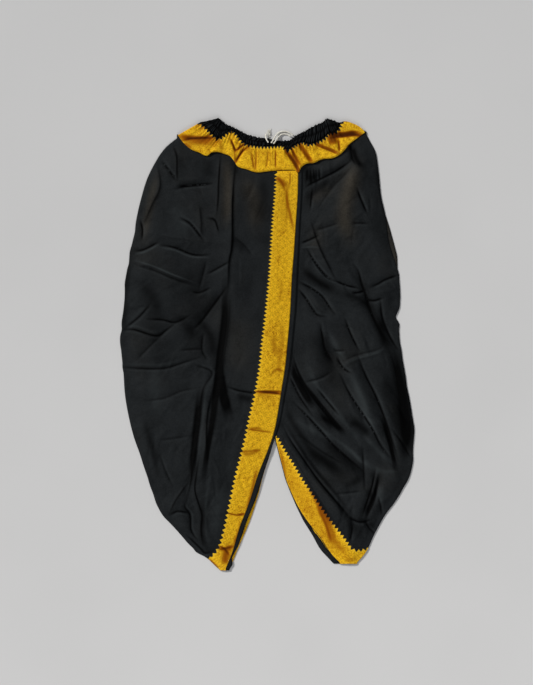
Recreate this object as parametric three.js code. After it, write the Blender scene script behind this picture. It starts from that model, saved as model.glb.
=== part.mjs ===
// Dhoti pants laid flat on a surface with their front up: a waist casing gathered on elastic, a gold yoke
// below it, two front leg panels that cross over at the centre, two back panels, gold borders along the
// open leg edges and a drawstring at the waist. Millimetres: X runs across the garment, +Y from ankle to
// waist, +Z up.

import * as THREE from "three";

// Driving dimensions
const CLOTH = 1.5; // wall of one layer of cloth
const TAPE = 1; // wall of a gold border
const CASING = 2; // wall of the elastic casing
const SEAM = 0.3; // gap between two pieces that meet
const LOFT = 8; // how far the front stands off the back inside a leg
const SIDE_ROLL = 38; // width over which the front comes down to the side fold
const FLAP_ROLL = 55; // width over which the right panel rises beside the left panel's edge
const GATHERS = 48; // gathers of the front of the waist
const GATHER_RISE = 2.6; // height of a gather
const END_BULGE = 7.5; // how far the yoke's right end curves out past a straight line
const CASING_CROWN = 3.5; // how far the front of the casing bulges over its elastic
const SEAM_ALLOWANCE = 9; // top margin of a leg panel, under the yoke
const HEM_GAP = 0.8; // from the yoke's lower edge to the first row below it
const BACK_INSET = 2.5; // how far the back lies inside the front's outline
const BORDER_WIDE = 52; // width of the gold border
const SELVEDGE = 9; // black edge outside the gold border
const CORD = 3.2; // diameter of the drawstring
const CORD_SIDES = 8;
const CELL = 25; // length of a cell of a panel's grid
const TOP_ROWS = 6; // rows of cells between the yoke and the first straight row
const STRAIGHT_FROM = 335;
const HEM_STEPS = 160; // parts into which a yoke's lower edge is read
const HALVINGS = 24; // steps to find where a column of a panel meets the yoke's lower edge
const UNDER_YOKE = 26; // length over which a panel rises below the yoke
const INNER_ROLL = 70; // width over which the left panel rises beside its inner edge

const FRONT_LOW = CLOTH + SEAM; // underside of a front panel at its edges
const LEFT_LOW = FRONT_LOW + CLOTH + SEAM; // underside of the left panel where it crosses the right one
const YOKE_LOW = LEFT_LOW + CLOTH + SEAM; // underside of the yoke over both panels
const CASING_LOW = CASING + SEAM;

// The left leg as seen from above, from the waist down to the ankle: its outer side, then the tips of the
// border's teeth, the border's straight edge and the selvedge
const LEFT_LEG = [
  { y: 439, outer: -187, tip: 15, edge: 67, inner: 74 },
  { y: 422, outer: -212, tip: 15, edge: 67, inner: 74 },
  { y: 405, outer: -223, tip: 15, edge: 67, inner: 74 },
  { y: 388, outer: -233, tip: 15, edge: 66, inner: 74 },
  { y: 355, outer: -250, tip: 15, edge: 66, inner: 74 },
  { y: 313, outer: -263, tip: 13, edge: 65, inner: 73 },
  { y: 271, outer: -273, tip: 9, edge: 62, inner: 70 },
  { y: 208, outer: -284, tip: 5, edge: 58, inner: 67 },
  { y: 145, outer: -296, tip: 1, edge: 53, inner: 64 },
  { y: 82, outer: -300, tip: -5, edge: 50, inner: 61 },
  { y: 29, outer: -308, tip: -11, edge: 46, inner: 56 },
  { y: -2, outer: -309, tip: -15, edge: 43, inner: 53 },
  { y: -44, outer: -302, tip: -19, edge: 39, inner: 48 },
  { y: -107, outer: -298, tip: -30, edge: 29, inner: 37 },
  { y: -157, outer: -289, tip: -42, edge: 21, inner: 28 },
  { y: -193, outer: -280, tip: -49, edge: 13, inner: 18 },
  { y: -233, outer: -267, tip: -59, edge: -2, inner: 6 },
  { y: -275, outer: -252, tip: -70, edge: -19, inner: -8 },
  { y: -317, outer: -237, tip: -79, edge: -32, inner: -20 },
  { y: -338, outer: -232, tip: -83, edge: -39, inner: -28 },
  { y: -359, outer: -223, tip: -88, edge: -47, inner: -37 },
  { y: -380, outer: -200, tip: -92, edge: -56, inner: -45 },
  { y: -401, outer: -181, tip: -97, edge: -62, inner: -52 },
  { y: -422, outer: -164, tip: -103, edge: -68, inner: -59 },
  { y: -432, outer: -154, tip: -106, edge: -71, inner: -64 },
  { y: -441, outer: -144, tip: -117, edge: -74, inner: -69 },
  { y: -446, outer: -134, tip: -120, edge: -75, inner: -72 },
  { y: -450, outer: -125, tip: -121, edge: -77, inner: -74 },
  { y: -464, outer: -112, tip: -107, edge: -82, inner: -73 },
  { y: -471, outer: -104, tip: -101, edge: -86, inner: -75 },
  { y: -475, outer: -100, tip: -97, edge: -88, inner: -80 },
];

// The right leg: above the crotch its inner edge lies hidden under the left panel, and tip runs along that
// panel's selvedge
const RIGHT_LEG = [
  { y: 446, inner: 32, edge: 54, tip: 76, outer: 209 },
  { y: 422, inner: 32, edge: 54, tip: 76, outer: 223 },
  { y: 405, inner: 32, edge: 54, tip: 76, outer: 229 },
  { y: 388, inner: 32, edge: 54, tip: 76, outer: 231 },
  { y: 355, inner: 32, edge: 54, tip: 76, outer: 235 },
  { y: 313, inner: 31, edge: 53, tip: 75, outer: 239 },
  { y: 271, inner: 28, edge: 50, tip: 72, outer: 250 },
  { y: 208, inner: 25, edge: 47, tip: 69, outer: 262 },
  { y: 149, inner: 22, edge: 44, tip: 66, outer: 276 },
  { y: 82, inner: 19, edge: 41, tip: 63, outer: 279 },
  { y: 60, inner: 17, edge: 39, tip: 61, outer: 269 },
  { y: 50, inner: 16, edge: 38, tip: 60, outer: 275 },
  { y: -2, inner: 11, edge: 33, tip: 55, outer: 279 },
  { y: -44, inner: 8, edge: 29, tip: 50, outer: 287 },
  { y: -107, inner: 7, edge: 23, tip: 39, outer: 298 },
  { y: -157, inner: 11, edge: 20, tip: 30, outer: 306 },
  { y: -193, inner: 15, edge: 19, tip: 23, outer: 309 },
  { y: -212, inner: 20, edge: 23, tip: 34, outer: 307 },
  { y: -233, inner: 25, edge: 28, tip: 48, outer: 306 },
  { y: -254, inner: 31, edge: 34, tip: 61, outer: 305 },
  { y: -283, inner: 38, edge: 41, tip: 78, outer: 299 },
  { y: -317, inner: 52, edge: 55, tip: 101, outer: 279 },
  { y: -338, inner: 62, edge: 65, tip: 115, outer: 265 },
  { y: -359, inner: 74, edge: 77, tip: 130, outer: 248 },
  { y: -380, inner: 89, edge: 92, tip: 145, outer: 236 },
  { y: -401, inner: 108, edge: 111, tip: 161, outer: 225 },
  { y: -422, inner: 121, edge: 124, tip: 178, outer: 214 },
  { y: -431, inner: 127, edge: 130, tip: 186, outer: 212 },
  { y: -443, inner: 134, edge: 138, tip: 186, outer: 205 },
  { y: -453, inner: 143, edge: 147, tip: 184, outer: 197 },
  { y: -462, inner: 154, edge: 157, tip: 180, outer: 187 },
];
const CROTCH = -193;
const LEFT_ANKLE = -450; // below it the border covers the whole left ankle
const RIGHT_ANKLE = -431;

// The waist front from the left side fold to the right one: top edge of the casing, the line of the
// border's teeth where casing and yoke meet, and the yoke's lower edge
const WAIST = [
  { top: [-107, 478], teeth: [-142, 471], hem: [-189, 444] },
  { top: [-103, 480], teeth: [-132, 463], hem: [-176, 427] },
  { top: [-99, 478], teeth: [-122, 453], hem: [-161, 414] },
  { top: [-95, 474], teeth: [-112, 443], hem: [-144, 407] },
  { top: [-89, 469], teeth: [-103, 437], hem: [-128, 400] },
  { top: [-83, 466], teeth: [-94, 442], hem: [-117, 407] },
  { top: [-75, 463], teeth: [-85, 449], hem: [-104, 408] },
  { top: [-67, 459], teeth: [-74, 453], hem: [-90, 404] },
  { top: [-55, 453], teeth: [-63, 445], hem: [-78, 399] },
  { top: [-45, 447], teeth: [-53, 433], hem: [-69, 388] },
  { top: [-35, 444], teeth: [-45, 426], hem: [-61, 377] },
  { top: [-21, 440], teeth: [-28, 422], hem: [-42, 371] },
  { top: [-1, 438], teeth: [-6, 420], hem: [-21, 365] },
  { top: [21, 433], teeth: [17, 421], hem: [8, 368] },
  { top: [38, 433], teeth: [33, 421], hem: [36, 370] },
  { top: [49, 434], teeth: [43, 413], hem: [57, 370] },
  { top: [56, 440], teeth: [53, 419], hem: [67, 365] },
  { top: [67, 447], teeth: [65, 426], hem: [73, 376] },
  { top: [80, 453], teeth: [76, 429], hem: [85, 384] },
  { top: [92, 460], teeth: [89, 425], hem: [99, 385] },
  { top: [106, 467], teeth: [104, 429], hem: [117, 393] },
  { top: [118, 472], teeth: [120, 437], hem: [138, 395] },
  { top: [126, 479], teeth: [130, 447], hem: [153, 402] },
  { top: [134, 478], teeth: [143, 450], hem: [165, 413] },
  { top: [140, 476], teeth: [150, 456], hem: [175, 425] },
  { top: [144, 474], teeth: [153, 463], hem: [189, 436] },
  { top: [148, 471], teeth: [156, 471], hem: [208, 450] },
];

// The waist back, which lies flat and just inside the front
const WAIST_BACK = [
  { top: [-104, 471], teeth: [-134, 462], hem: [-180, 437] },
  { top: [-84, 455], teeth: [-104, 431], hem: [-130, 402] },
  { top: [-50, 441], teeth: [-60, 419], hem: [-76, 383] },
  { top: [0, 427], teeth: [0, 404], hem: [0, 366] },
  { top: [50, 426], teeth: [54, 404], hem: [66, 369] },
  { top: [92, 449], teeth: [102, 421], hem: [120, 391] },
  { top: [116, 466], teeth: [134, 441], hem: [166, 415] },
  { top: [127, 471], teeth: [150, 462], hem: [201, 442] },
];

// Folds as seen from above. A fold follows its path, rises or sinks by rise, and dies out over the width
// that it has to the left and to the right of its path.
const LEFT_FOLDS = [
  {
    name: "outer pleat", rise: 4, left: 26, right: 8,
    path: [[-97, 395], [-101, 351], [-101, 304], [-105, 267], [-96, 233]],
  },
  {
    name: "centre pleat", rise: 5, left: 60, right: 9,
    path: [[-65, 372], [-67, 342], [-74, 304], [-74, 220], [-82, 115], [-90, 31], [-94, -31], [-97, -84]],
  },
  {
    name: "lower pleat", rise: 5, left: 50, right: 9,
    path: [
      [-105, -84], [-113, -120], [-118, -162], [-126, -212], [-141, -275], [-144, -309], [-134, -342],
      [-133, -384], [-134, -418],
    ],
  },
  {
    name: "pleat shadow", rise: -4, left: 12, right: 12,
    path: [[-111, -90], [-128, -132], [-141, -179], [-152, -240], [-166, -309], [-158, -357], [-144, -405]],
  },
  {
    name: "thigh fold", rise: -4, left: 22, right: 14,
    path: [[-82, 113], [-105, 88], [-132, 55], [-174, 8], [-215, -25]],
  },
  {
    name: "knee fold", rise: -3, left: 14, right: 12,
    path: [[-300, 30], [-270, 32], [-231, 19], [-191, 48], [-158, 61]],
  },
  {
    name: "side fold", rise: -3, left: 14, right: 10,
    path: [[-233, 376], [-225, 332], [-237, 298], [-256, 250], [-260, 215]],
  },
  {
    name: "hip fold", rise: -4, left: 12, right: 12,
    path: [[-183, 332], [-162, 334], [-132, 337], [-112, 339]],
  },
  {
    name: "upper wrinkle", rise: -3, left: 10, right: 12,
    path: [[-275, 197], [-225, 214], [-183, 197], [-150, 187], [-122, 189]],
  },
  {
    name: "upper ridge", rise: 4, left: 12, right: 12,
    path: [[-280, 176], [-246, 160], [-214, 145], [-183, 137], [-149, 130]],
  },
  {
    name: "shin wrinkle", rise: -3, left: 12, right: 12,
    path: [[-292, -46], [-246, -48], [-204, -46], [-168, -36], [-141, -25]],
  },
  {
    name: "calf wrinkle", rise: -2.5, left: 12, right: 12,
    path: [[-252, -116], [-225, -113], [-200, -103], [-172, -90], [-130, -84]],
  },
];
const RIGHT_FOLDS = [
  {
    name: "gathered tuft", rise: 5, left: 14, right: 16,
    path: [[84, 362], [110, 372], [140, 378], [160, 392]],
  },
  {
    name: "under the tuft", rise: -4, left: 9, right: 12,
    path: [[76, 328], [101, 342], [128, 357], [153, 370], [174, 393], [181, 412]],
  },
  {
    name: "hip shadow", rise: -4, left: 14, right: 12,
    path: [[185, 389], [170, 363], [143, 340], [111, 315], [86, 290]],
  },
  {
    name: "hip ridge", rise: 5, left: 24, right: 24,
    path: [[191, 378], [174, 336], [153, 294], [132, 252]],
  },
  {
    name: "upper crease", rise: -4, left: 12, right: 12,
    path: [[80, 197], [95, 176], [116, 158], [139, 135], [170, 126], [200, 118]],
  },
  {
    name: "thigh shadow", rise: -4, left: 11, right: 11,
    path: [[78, 128], [97, 114], [124, 88], [139, 67]],
  },
  {
    name: "thigh roll", rise: 4, left: 12, right: 12,
    path: [[82, 108], [97, 92], [116, 66]],
  },
  {
    name: "side crease", rise: -4, left: 14, right: 10,
    path: [[179, 164], [197, 132], [212, 88], [239, 38], [266, -8]],
  },
  {
    name: "long crease", rise: -4, left: 14, right: 10,
    path: [[166, 48], [189, -10], [208, -44], [239, -124], [256, -168]],
  },
  {
    name: "knee roll", rise: 5, left: 18, right: 18,
    path: [[170, -40], [200, -105], [221, -153], [242, -200]],
  },
  {
    name: "knee crease", rise: -4, left: 14, right: 10,
    path: [[120, 15], [143, -42], [164, -70], [195, -132], [231, -206], [250, -238]],
  },
  {
    name: "centre fold", rise: -5, left: 14, right: 18,
    path: [[62, -24], [86, -74], [107, -105], [132, -139], [162, -181]],
  },
  {
    name: "shin fold", rise: -4, left: 14, right: 14,
    path: [[64, -132], [86, -166], [122, -195], [155, -223], [204, -262]],
  },
  {
    name: "shin roll", rise: 5, left: 20, right: 16,
    path: [[84, -136], [116, -170], [164, -203], [206, -220], [250, -246]],
  },
  {
    name: "border roll", rise: 6, left: 12, right: 14,
    path: [[40, -187], [66, -225], [100, -272], [134, -322], [170, -368]],
  },
  {
    name: "border fold", rise: -5, left: 18, right: 9,
    path: [[34, -168], [56, -195], [88, -240], [120, -286], [147, -322], [182, -366]],
  },
  {
    name: "ankle fold", rise: -4, left: 9, right: 10,
    path: [[244, -262], [232, -300], [216, -338], [200, -368]],
  },
];
const YOKE_FOLDS = [
  {
    name: "left hollow", rise: -4, left: 12, right: 14,
    path: [[-176, 432], [-150, 434], [-125, 434], [-104, 428]],
  },
  {
    name: "left peak", rise: 4, left: 12, right: 14,
    path: [[-76, 448], [-84, 425], [-92, 404]],
  },
  {
    name: "left crease", rise: -4, left: 9, right: 9,
    path: [[-45, 420], [-56, 402], [-69, 380]],
  },
  {
    name: "left fan", rise: 3, left: 14, right: 14,
    path: [[-34, 414], [-45, 390], [-56, 372]],
  },
  {
    name: "centre crease", rise: -3, left: 8, right: 8,
    path: [[-31, 408], [-25, 388], [-27, 364]],
  },
  {
    name: "right crease", rise: -5, left: 9, right: 9,
    path: [[38, 412], [50, 394], [60, 380], [66, 364]],
  },
  {
    name: "right fan", rise: 4, left: 9, right: 9,
    path: [[56, 412], [66, 394], [74, 374]],
  },
  {
    name: "right hollow", rise: -4, left: 9, right: 9,
    path: [[70, 418], [78, 400], [93, 382]],
  },
  {
    name: "right roll", rise: 4, left: 11, right: 11,
    path: [[82, 420], [96, 406], [108, 390]],
  },
  {
    name: "right trough", rise: -4, left: 10, right: 10,
    path: [[100, 420], [122, 410], [148, 402]],
  },
  {
    name: "right pocket", rise: -5, left: 12, right: 14,
    path: [[130, 434], [150, 436], [176, 440], [200, 444]],
  },
];

const BLACK = { color: 0x17181b, roughness: 0.85, metalness: 0 };
const GOLD = { color: 0xd9a11e, roughness: 0.6, metalness: 0 };
const WHITE = { color: 0xe9e4d8, roughness: 0.9, metalness: 0 };

const { clamp, lerp, smoothstep } = THREE.MathUtils;

// A smooth curve through a column of a table whose rows go down in y
function edgeOf(table, column) {
  const slope = table.map((row, i) => {
    const above = table[Math.max(i - 1, 0)];
    const below = table[Math.min(i + 1, table.length - 1)];
    return (below[column] - above[column]) / (below.y - above.y);
  });
  return (y) => {
    const next = table.findIndex((row) => row.y < y);
    if (next === 0) return table[0][column];
    if (next < 0) return table[table.length - 1][column];
    const [a, b] = [table[next - 1], table[next]];
    const span = b.y - a.y;
    const t = (y - a.y) / span;
    return (
      a[column] * (1 + 2 * t) * (1 - t) ** 2 +
      b[column] * t * t * (3 - 2 * t) +
      span * (slope[next - 1] * t * (1 - t) ** 2 + slope[next] * t * t * (t - 1))
    );
  };
}

// A smooth curve through the points of one column, evenly by row: at(0) is the first row and at(1) the last
function lineOf(table, column) {
  const curve = new THREE.CatmullRomCurve3(
    table.map((row) => new THREE.Vector3(...row[column], 0)), false, "catmullrom", 0.5,
  );
  return (t) => curve.getPoint(clamp(t, 0, 1));
}

// The height that a list of folds adds at a point
function foldHeight(folds) {
  const paths = folds.map(({ path, ...fold }) => {
    const curve = new THREE.CatmullRomCurve3(path.map(([x, y]) => new THREE.Vector3(x, y, 0)));
    return { ...fold, points: curve.getPoints(6 * path.length) };
  });
  return (x, y) => {
    let height = 0;
    for (const { points, rise, left, right } of paths) {
      let best = Infinity;
      let side = 0;
      let along = 0;
      for (let i = 1; i < points.length; i++) {
        const [a, b] = [points[i - 1], points[i]];
        const [dx, dy] = [b.x - a.x, b.y - a.y];
        const t = clamp(((x - a.x) * dx + (y - a.y) * dy) / (dx * dx + dy * dy), 0, 1);
        const away = Math.hypot(x - a.x - t * dx, y - a.y - t * dy);
        if (away < best) {
          best = away;
          side = dx * (y - a.y) - dy * (x - a.x);
          along = (i - 1 + t) / (points.length - 1);
        }
      }
      const reach = side > 0 ? left : right;
      const fade = smoothstep(along, -0.05, 0.2) * smoothstep(1 - along, -0.05, 0.2);
      height += rise * fade * (1 - smoothstep(best, 0, reach));
    }
    return height;
  };
}

const leftOuter = edgeOf(LEFT_LEG, "outer");
const leftTip = edgeOf(LEFT_LEG, "tip");
const leftEdge = edgeOf(LEFT_LEG, "edge");
const leftInner = edgeOf(LEFT_LEG, "inner");
const rightInner = edgeOf(RIGHT_LEG, "inner");
const rightEdge = edgeOf(RIGHT_LEG, "edge");
const rightTip = edgeOf(RIGHT_LEG, "tip");
const rightOuter = edgeOf(RIGHT_LEG, "outer");
const waistTop = lineOf(WAIST, "top");
const waistTeeth = lineOf(WAIST, "teeth");
const waistHem = lineOf(WAIST, "hem");
const leftFolds = foldHeight(LEFT_FOLDS);
const rightFolds = foldHeight(RIGHT_FOLDS);
const yokeFolds = foldHeight(YOKE_FOLDS);

// The height of a yoke's lower edge at x
function hemOf(line) {
  const points = Array.from({ length: HEM_STEPS + 1 }, (_, k) => line(k / HEM_STEPS));
  return (x) => {
    const next = points.findIndex((point) => point.x > x);
    if (next === 0) return points[0].y;
    if (next < 0) return points.at(-1).y;
    const [a, b] = [points[next - 1], points[next]];
    return lerp(a.y, b.y, (x - a.x) / (b.x - a.x));
  };
}
const frontHem = hemOf(waistHem);
const backHem = hemOf(lineOf(WAIST_BACK, "hem"));

// Undersides of the two front panels at a point that lies some way below the yoke. Both are flat at their
// edges, and the right one also where the left one lies on it.
function rightLow(x, y, below) {
  const fromCrossing = x - rightTip(y);
  const fromInner = y > CROTCH ? fromCrossing : x - rightInner(y);
  const fromSide = rightOuter(y) - x;
  const loft = LOFT * smoothstep(fromInner, 2, FLAP_ROLL) * smoothstep(fromSide, 0, SIDE_ROLL);
  const folds = rightFolds(x, y) * smoothstep(fromInner, 1, 16) * smoothstep(fromSide, 0, 14);
  return FRONT_LOW + Math.max(0, loft + folds) * smoothstep(below, 1, UNDER_YOKE);
}
function leftLow(x, y, below) {
  const fromInner = leftInner(y) - x;
  const fromSide = x - leftOuter(y);
  const onRight = smoothstep(x, -110, -15) * smoothstep(y, CROTCH - 60, CROTCH - 8);
  const loft = LOFT * smoothstep(fromSide, 0, SIDE_ROLL) * smoothstep(fromInner, 0, INNER_ROLL);
  const folds = leftFolds(x, y) * smoothstep(fromSide, 0, 14) * smoothstep(fromInner, 0, 30);
  return lerp(FRONT_LOW, LEFT_LOW, onRight) + Math.max(0, loft + folds) * smoothstep(below, 1, UNDER_YOKE);
}

// A grid of points over a leg panel, below a yoke. Its columns run down the leg. Its first rows follow the
// yoke's lower edge and come straight, and the others are straight down to the ankle.
function panelGrid(columns, levels, hem, cell, low) {
  const tops = columns.map((xAt) => {
    let [above, under] = [460, STRAIGHT_FROM];
    for (let k = 0; k < HALVINGS; k++) {
      const y = (above + under) / 2;
      if (y > hem(xAt(y))) above = y;
      else under = y;
    }
    return above;
  });
  const row = (yAt) =>
    columns.map((xAt, i) => {
      const y = yAt(i);
      const x = xAt(y);
      return { x, y, z: low(x, y, tops[i] - y) };
    });
  const rows = Array.from({ length: TOP_ROWS }, (_, k) =>
    row((i) => lerp(tops[i] - HEM_GAP, STRAIGHT_FROM, k / TOP_ROWS)));
  for (let n = 1; n < levels.length; n++) {
    const count = Math.ceil((levels[n - 1] - levels[n]) / cell);
    for (let k = n === 1 ? 0 : 1; k <= count; k++) {
      rows.push(row(() => lerp(levels[n - 1], levels[n], k / count)));
    }
  }
  return rows;
}

// A front panel also has a margin that lies flat under the yoke, narrow at the ends of the yoke
function withMargin(grid) {
  const last = grid[0].length - 1;
  const margin = grid[0].map((point, i) => {
    const reach = SEAM_ALLOWANCE * Math.min(1, 0.3 + Math.min(i, last - i) / 4);
    return { ...point, y: point.y + HEM_GAP + reach };
  });
  return [margin, ...grid];
}

// A closed sheet of cloth over the cells of a grid that are used. Rows of the grid go down in y, columns up
// in x.
function sheet(grid, thick, lift = 0, uses = () => true) {
  const positions = [];
  const index = [];
  const numbers = new Map();
  const vertex = ([i, j], upper) => {
    const key = [i, j, upper].join();
    if (!numbers.has(key)) {
      const { x, y, z } = grid[j][i];
      numbers.set(key, numbers.size);
      positions.push(x, y, z + lift + upper * thick);
    }
    return numbers.get(key);
  };
  const quad = (a, b, c, d) => index.push(a, b, c, a, c, d);
  const [rows, columns] = [grid.length - 1, grid[0].length - 1];
  const used = (i, j) => i >= 0 && j >= 0 && i < columns && j < rows && uses(i, j);
  for (let j = 0; j < rows; j++) {
    for (let i = 0; i < columns; i++) {
      if (!used(i, j)) continue;
      const corners = [[i, j], [i, j + 1], [i + 1, j + 1], [i + 1, j]];
      const [a, b, c, d] = corners.map((corner) => vertex(corner, 1));
      quad(a, b, c, d);
      const [e, f, g, h] = corners.map((corner) => vertex(corner, 0));
      index.push(e, g, f, e, h, g);
      [[i - 1, j], [i, j + 1], [i + 1, j], [i, j - 1]].forEach(([m, n], k) => {
        if (used(m, n)) return;
        const [p, q] = [corners[k], corners[(k + 1) % 4]];
        quad(vertex(q, 1), vertex(p, 1), vertex(p, 0), vertex(q, 0));
      });
    }
  }
  const geometry = new THREE.BufferGeometry();
  geometry.setAttribute("position", new THREE.Float32BufferAttribute(positions, 3));
  geometry.setIndex(index);
  geometry.computeVertexNormals();
  return geometry;
}

const pants = new THREE.Group();
function addMesh(name, geometry, finish) {
  const mesh = new THREE.Mesh(geometry, new THREE.MeshStandardMaterial(finish));
  mesh.name = name;
  pants.add(mesh);
}

// The columns of a grid from one edge of the cloth up to another one, which is left to the columns that
// follow
const between = (from, to, count) =>
  Array.from({ length: count }, (_, k) => (y) => lerp(from(y), to(y), k / count));

// Each front panel and the gold border on it. The border uses the panel's own cells, moved up.
const LEFT_BODY = 21;
const RIGHT_BODY = 18;
const BORDER_CELLS = 3;

function frontPanels() {
  const leftColumns = [
    ...between(leftOuter, leftTip, LEFT_BODY),
    ...between(leftTip, leftEdge, BORDER_CELLS),
    leftEdge,
    leftInner,
  ];
  const rightColumns = [
    rightInner,
    ...between(rightEdge, rightTip, BORDER_CELLS),
    ...between(rightTip, rightOuter, RIGHT_BODY),
    rightOuter,
  ];
  const leftLevels = [STRAIGHT_FROM, CROTCH, LEFT_ANKLE, LEFT_LEG.at(-1).y];
  const rightLevels = [STRAIGHT_FROM, CROTCH, RIGHT_ANKLE, RIGHT_LEG.at(-1).y];
  const left = withMargin(panelGrid(leftColumns, leftLevels, frontHem, CELL, leftLow));
  const right = withMargin(panelGrid(rightColumns, rightLevels, frontHem, CELL, rightLow));
  addMesh("front_left_panel", sheet(left, CLOTH), BLACK);
  addMesh("front_right_panel", sheet(right, CLOTH), BLACK);

  const onBorder = CLOTH + SEAM;
  const leftBorder = (i, j) =>
    j >= 1 && i < LEFT_BODY + BORDER_CELLS && (i >= LEFT_BODY || left[j][i].y <= LEFT_ANKLE);
  const rightBorder = (i, j) =>
    i >= 1 && right[j][i].y <= CROTCH && (i <= BORDER_CELLS || right[j][i].y <= RIGHT_ANKLE);
  addMesh("front_left_border", sheet(left, TAPE, onBorder, leftBorder), GOLD);
  addMesh("front_right_border", sheet(right, TAPE, onBorder, rightBorder), GOLD);
}

// Gathers of the waist: a crest at every other column, uneven from one to the next
function gatherAt(column) {
  if (column % 2 === 0) return 0;
  return 0.8 + 0.2 * Math.sin(column * 2.3) + 0.2 * Math.sin(column * 0.9);
}

// A grid over a band of the waist front, between an upper and a lower line, whose right end may bulge
function waistGrid(rows, upper, lower, bulge, low) {
  const columns = 2 * GATHERS;
  return Array.from({ length: rows + 1 }, (_, j) =>
    Array.from({ length: columns + 1 }, (_, i) => {
      const u = i / columns;
      const v = j / rows;
      const point = upper(u).lerp(lower(u), v);
      const x = point.x;
      const y = point.y + bulge * 4 * v * (1 - v) * smoothstep(u, 0.93, 1);
      return { x, y, z: low(u, v, x, y, gatherAt(i)) };
    }));
}

function waist() {
  const fromEnd = (u) => smoothstep(Math.min(u, 1 - u), 0, 0.12);
  const yokeTop = (u) => {
    const hem = waistHem(u);
    const teeth = waistTeeth(u);
    return teeth.lerp(hem, SEAM / teeth.distanceTo(hem));
  };
  const yoke = waistGrid(4, yokeTop, waistHem, END_BULGE, (u, v, x, y, gather) => {
    const rests = lerp(LEFT_LOW, YOKE_LOW, fromEnd(u));
    const folds = Math.max(0, 3 + yokeFolds(x, y)) * (0.4 + 0.6 * v);
    return rests + folds * fromEnd(u) + GATHER_RISE * gather * (1 - v) ** 1.5;
  });
  addMesh("yoke_front", sheet(yoke, CLOTH), GOLD);
  const casing = waistGrid(3, waistTop, waistTeeth, 0, (u, v, x, y, gather) => {
    const bulge = Math.sin(Math.PI * v);
    return CASING_LOW + CASING_CROWN * bulge * fromEnd(u) + GATHER_RISE * gather * (0.25 + 0.75 * bulge);
  });
  addMesh("casing_front", sheet(casing, CASING), BLACK);
}

// How far the back shows past the front: along the open edge of each leg and at the right hip
const LEFT_PEEP = [
  { y: CROTCH, by: 0 },
  { y: -290, by: 0.5 },
  { y: -338, by: 4 },
  { y: -371, by: 6.5 },
  { y: -401, by: 4.5 },
  { y: -428, by: 2.5 },
  { y: -446, by: 1.5 },
  { y: -475, by: 0 },
];
const RIGHT_PEEP = [
  { y: CROTCH, by: 0 },
  { y: -310, by: 0.5 },
  { y: -360, by: 4 },
  { y: -401, by: 13 },
  { y: -430, by: 16 },
  { y: -443, by: 14 },
  { y: -452, by: 11 },
  { y: -462, by: 12 },
];
const HIP_PEEP = [
  { y: 300, by: 0 },
  { y: 268, by: 6 },
  { y: 235, by: 9 },
  { y: 199, by: 12 },
  { y: 170, by: 9 },
  { y: 150, by: 2 },
  { y: 130, by: 0 },
];
const leftPeep = edgeOf(LEFT_PEEP, "by");
const rightPeep = edgeOf(RIGHT_PEEP, "by");
const hipPeep = edgeOf(HIP_PEEP, "by");

// The back lies flat on the surface, its pieces edge to edge, with a seam down the centre from yoke to
// crotch
const CENTRE_SEAM = [
  { y: 366, x: 8 },
  { y: CROTCH, x: 16 },
];
const BACK_CELL = 30;
const LEFT_BACK_END = -460;
const RIGHT_BACK_END = -463;

function backs() {
  const seam = edgeOf(CENTRE_SEAM, "x");
  const wide = (y) => smoothstep(CROTCH - y, 0, 60);
  const leftSide = (y) => leftOuter(y) + BACK_INSET;
  const leftEnd = (y) => leftInner(y) + leftPeep(y);
  const leftTape = (y) => Math.max(leftEnd(y) - BORDER_WIDE * wide(y), leftSide(y) + 4);
  const rightSide = (y) => rightOuter(y) - BACK_INSET + hipPeep(y);
  const rightEnd = (y) => rightInner(y) - rightPeep(y);
  const rightBlack = (y) => rightEnd(y) + SELVEDGE * wide(y);
  const rightTape = (y) => Math.min(rightBlack(y) + BORDER_WIDE * wide(y), rightSide(y) - 4);
  const flat = () => 0;
  const panel = (from, to, end) =>
    panelGrid([...between(from, to, 12), to], [STRAIGHT_FROM, CROTCH, end], backHem, BACK_CELL, flat);
  const strip = (from, to, end) => {
    const count = Math.ceil((CROTCH - end) / BACK_CELL);
    const levels = Array.from({ length: count }, (_, k) => lerp(CROTCH, end, (k + 1) / count));
    return levels.map((y) => [from(y), to(y)].map((x) => ({ x, y, z: 0 })));
  };
  const leftMeets = (y) => (y > CROTCH - 1 ? seam(y) : leftTape(y)) - SEAM;
  const rightMeets = (y) => (y > CROTCH - 1 ? seam(y) : rightTape(y)) + SEAM;
  addMesh("back_left_panel", sheet(panel(leftSide, leftMeets, LEFT_BACK_END), CLOTH), BLACK);
  addMesh("back_right_panel", sheet(panel(rightMeets, rightSide, RIGHT_BACK_END), CLOTH), BLACK);
  addMesh("back_left_border", sheet(strip(leftTape, leftEnd, LEFT_BACK_END), CLOTH), GOLD);
  addMesh("back_right_border", sheet(strip(rightBlack, rightTape, RIGHT_BACK_END), CLOTH), GOLD);
  const edge = (y) => rightBlack(y) - SEAM;
  addMesh("back_right_selvedge", sheet(strip(rightEnd, edge, RIGHT_BACK_END), CLOTH), BLACK);
}

// The back of the waist: flat bands between the lines of their table, apart by the seam gap
function backBand(upper, lower, gap) {
  const [above, under] = [lineOf(WAIST_BACK, upper), lineOf(WAIST_BACK, lower)];
  const columns = 24;
  return [above, under].map((line, k) =>
    Array.from({ length: columns + 1 }, (_, i) => {
      const { x, y } = line(i / columns);
      return { x, y: y - (k === 0 ? gap : 0), z: 0 };
    }));
}
function waistBack() {
  addMesh("casing_back", sheet(backBand("top", "teeth", 0), CASING), BLACK);
  addMesh("yoke_back", sheet(backBand("teeth", "hem", SEAM), CLOTH), GOLD);
}

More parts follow.
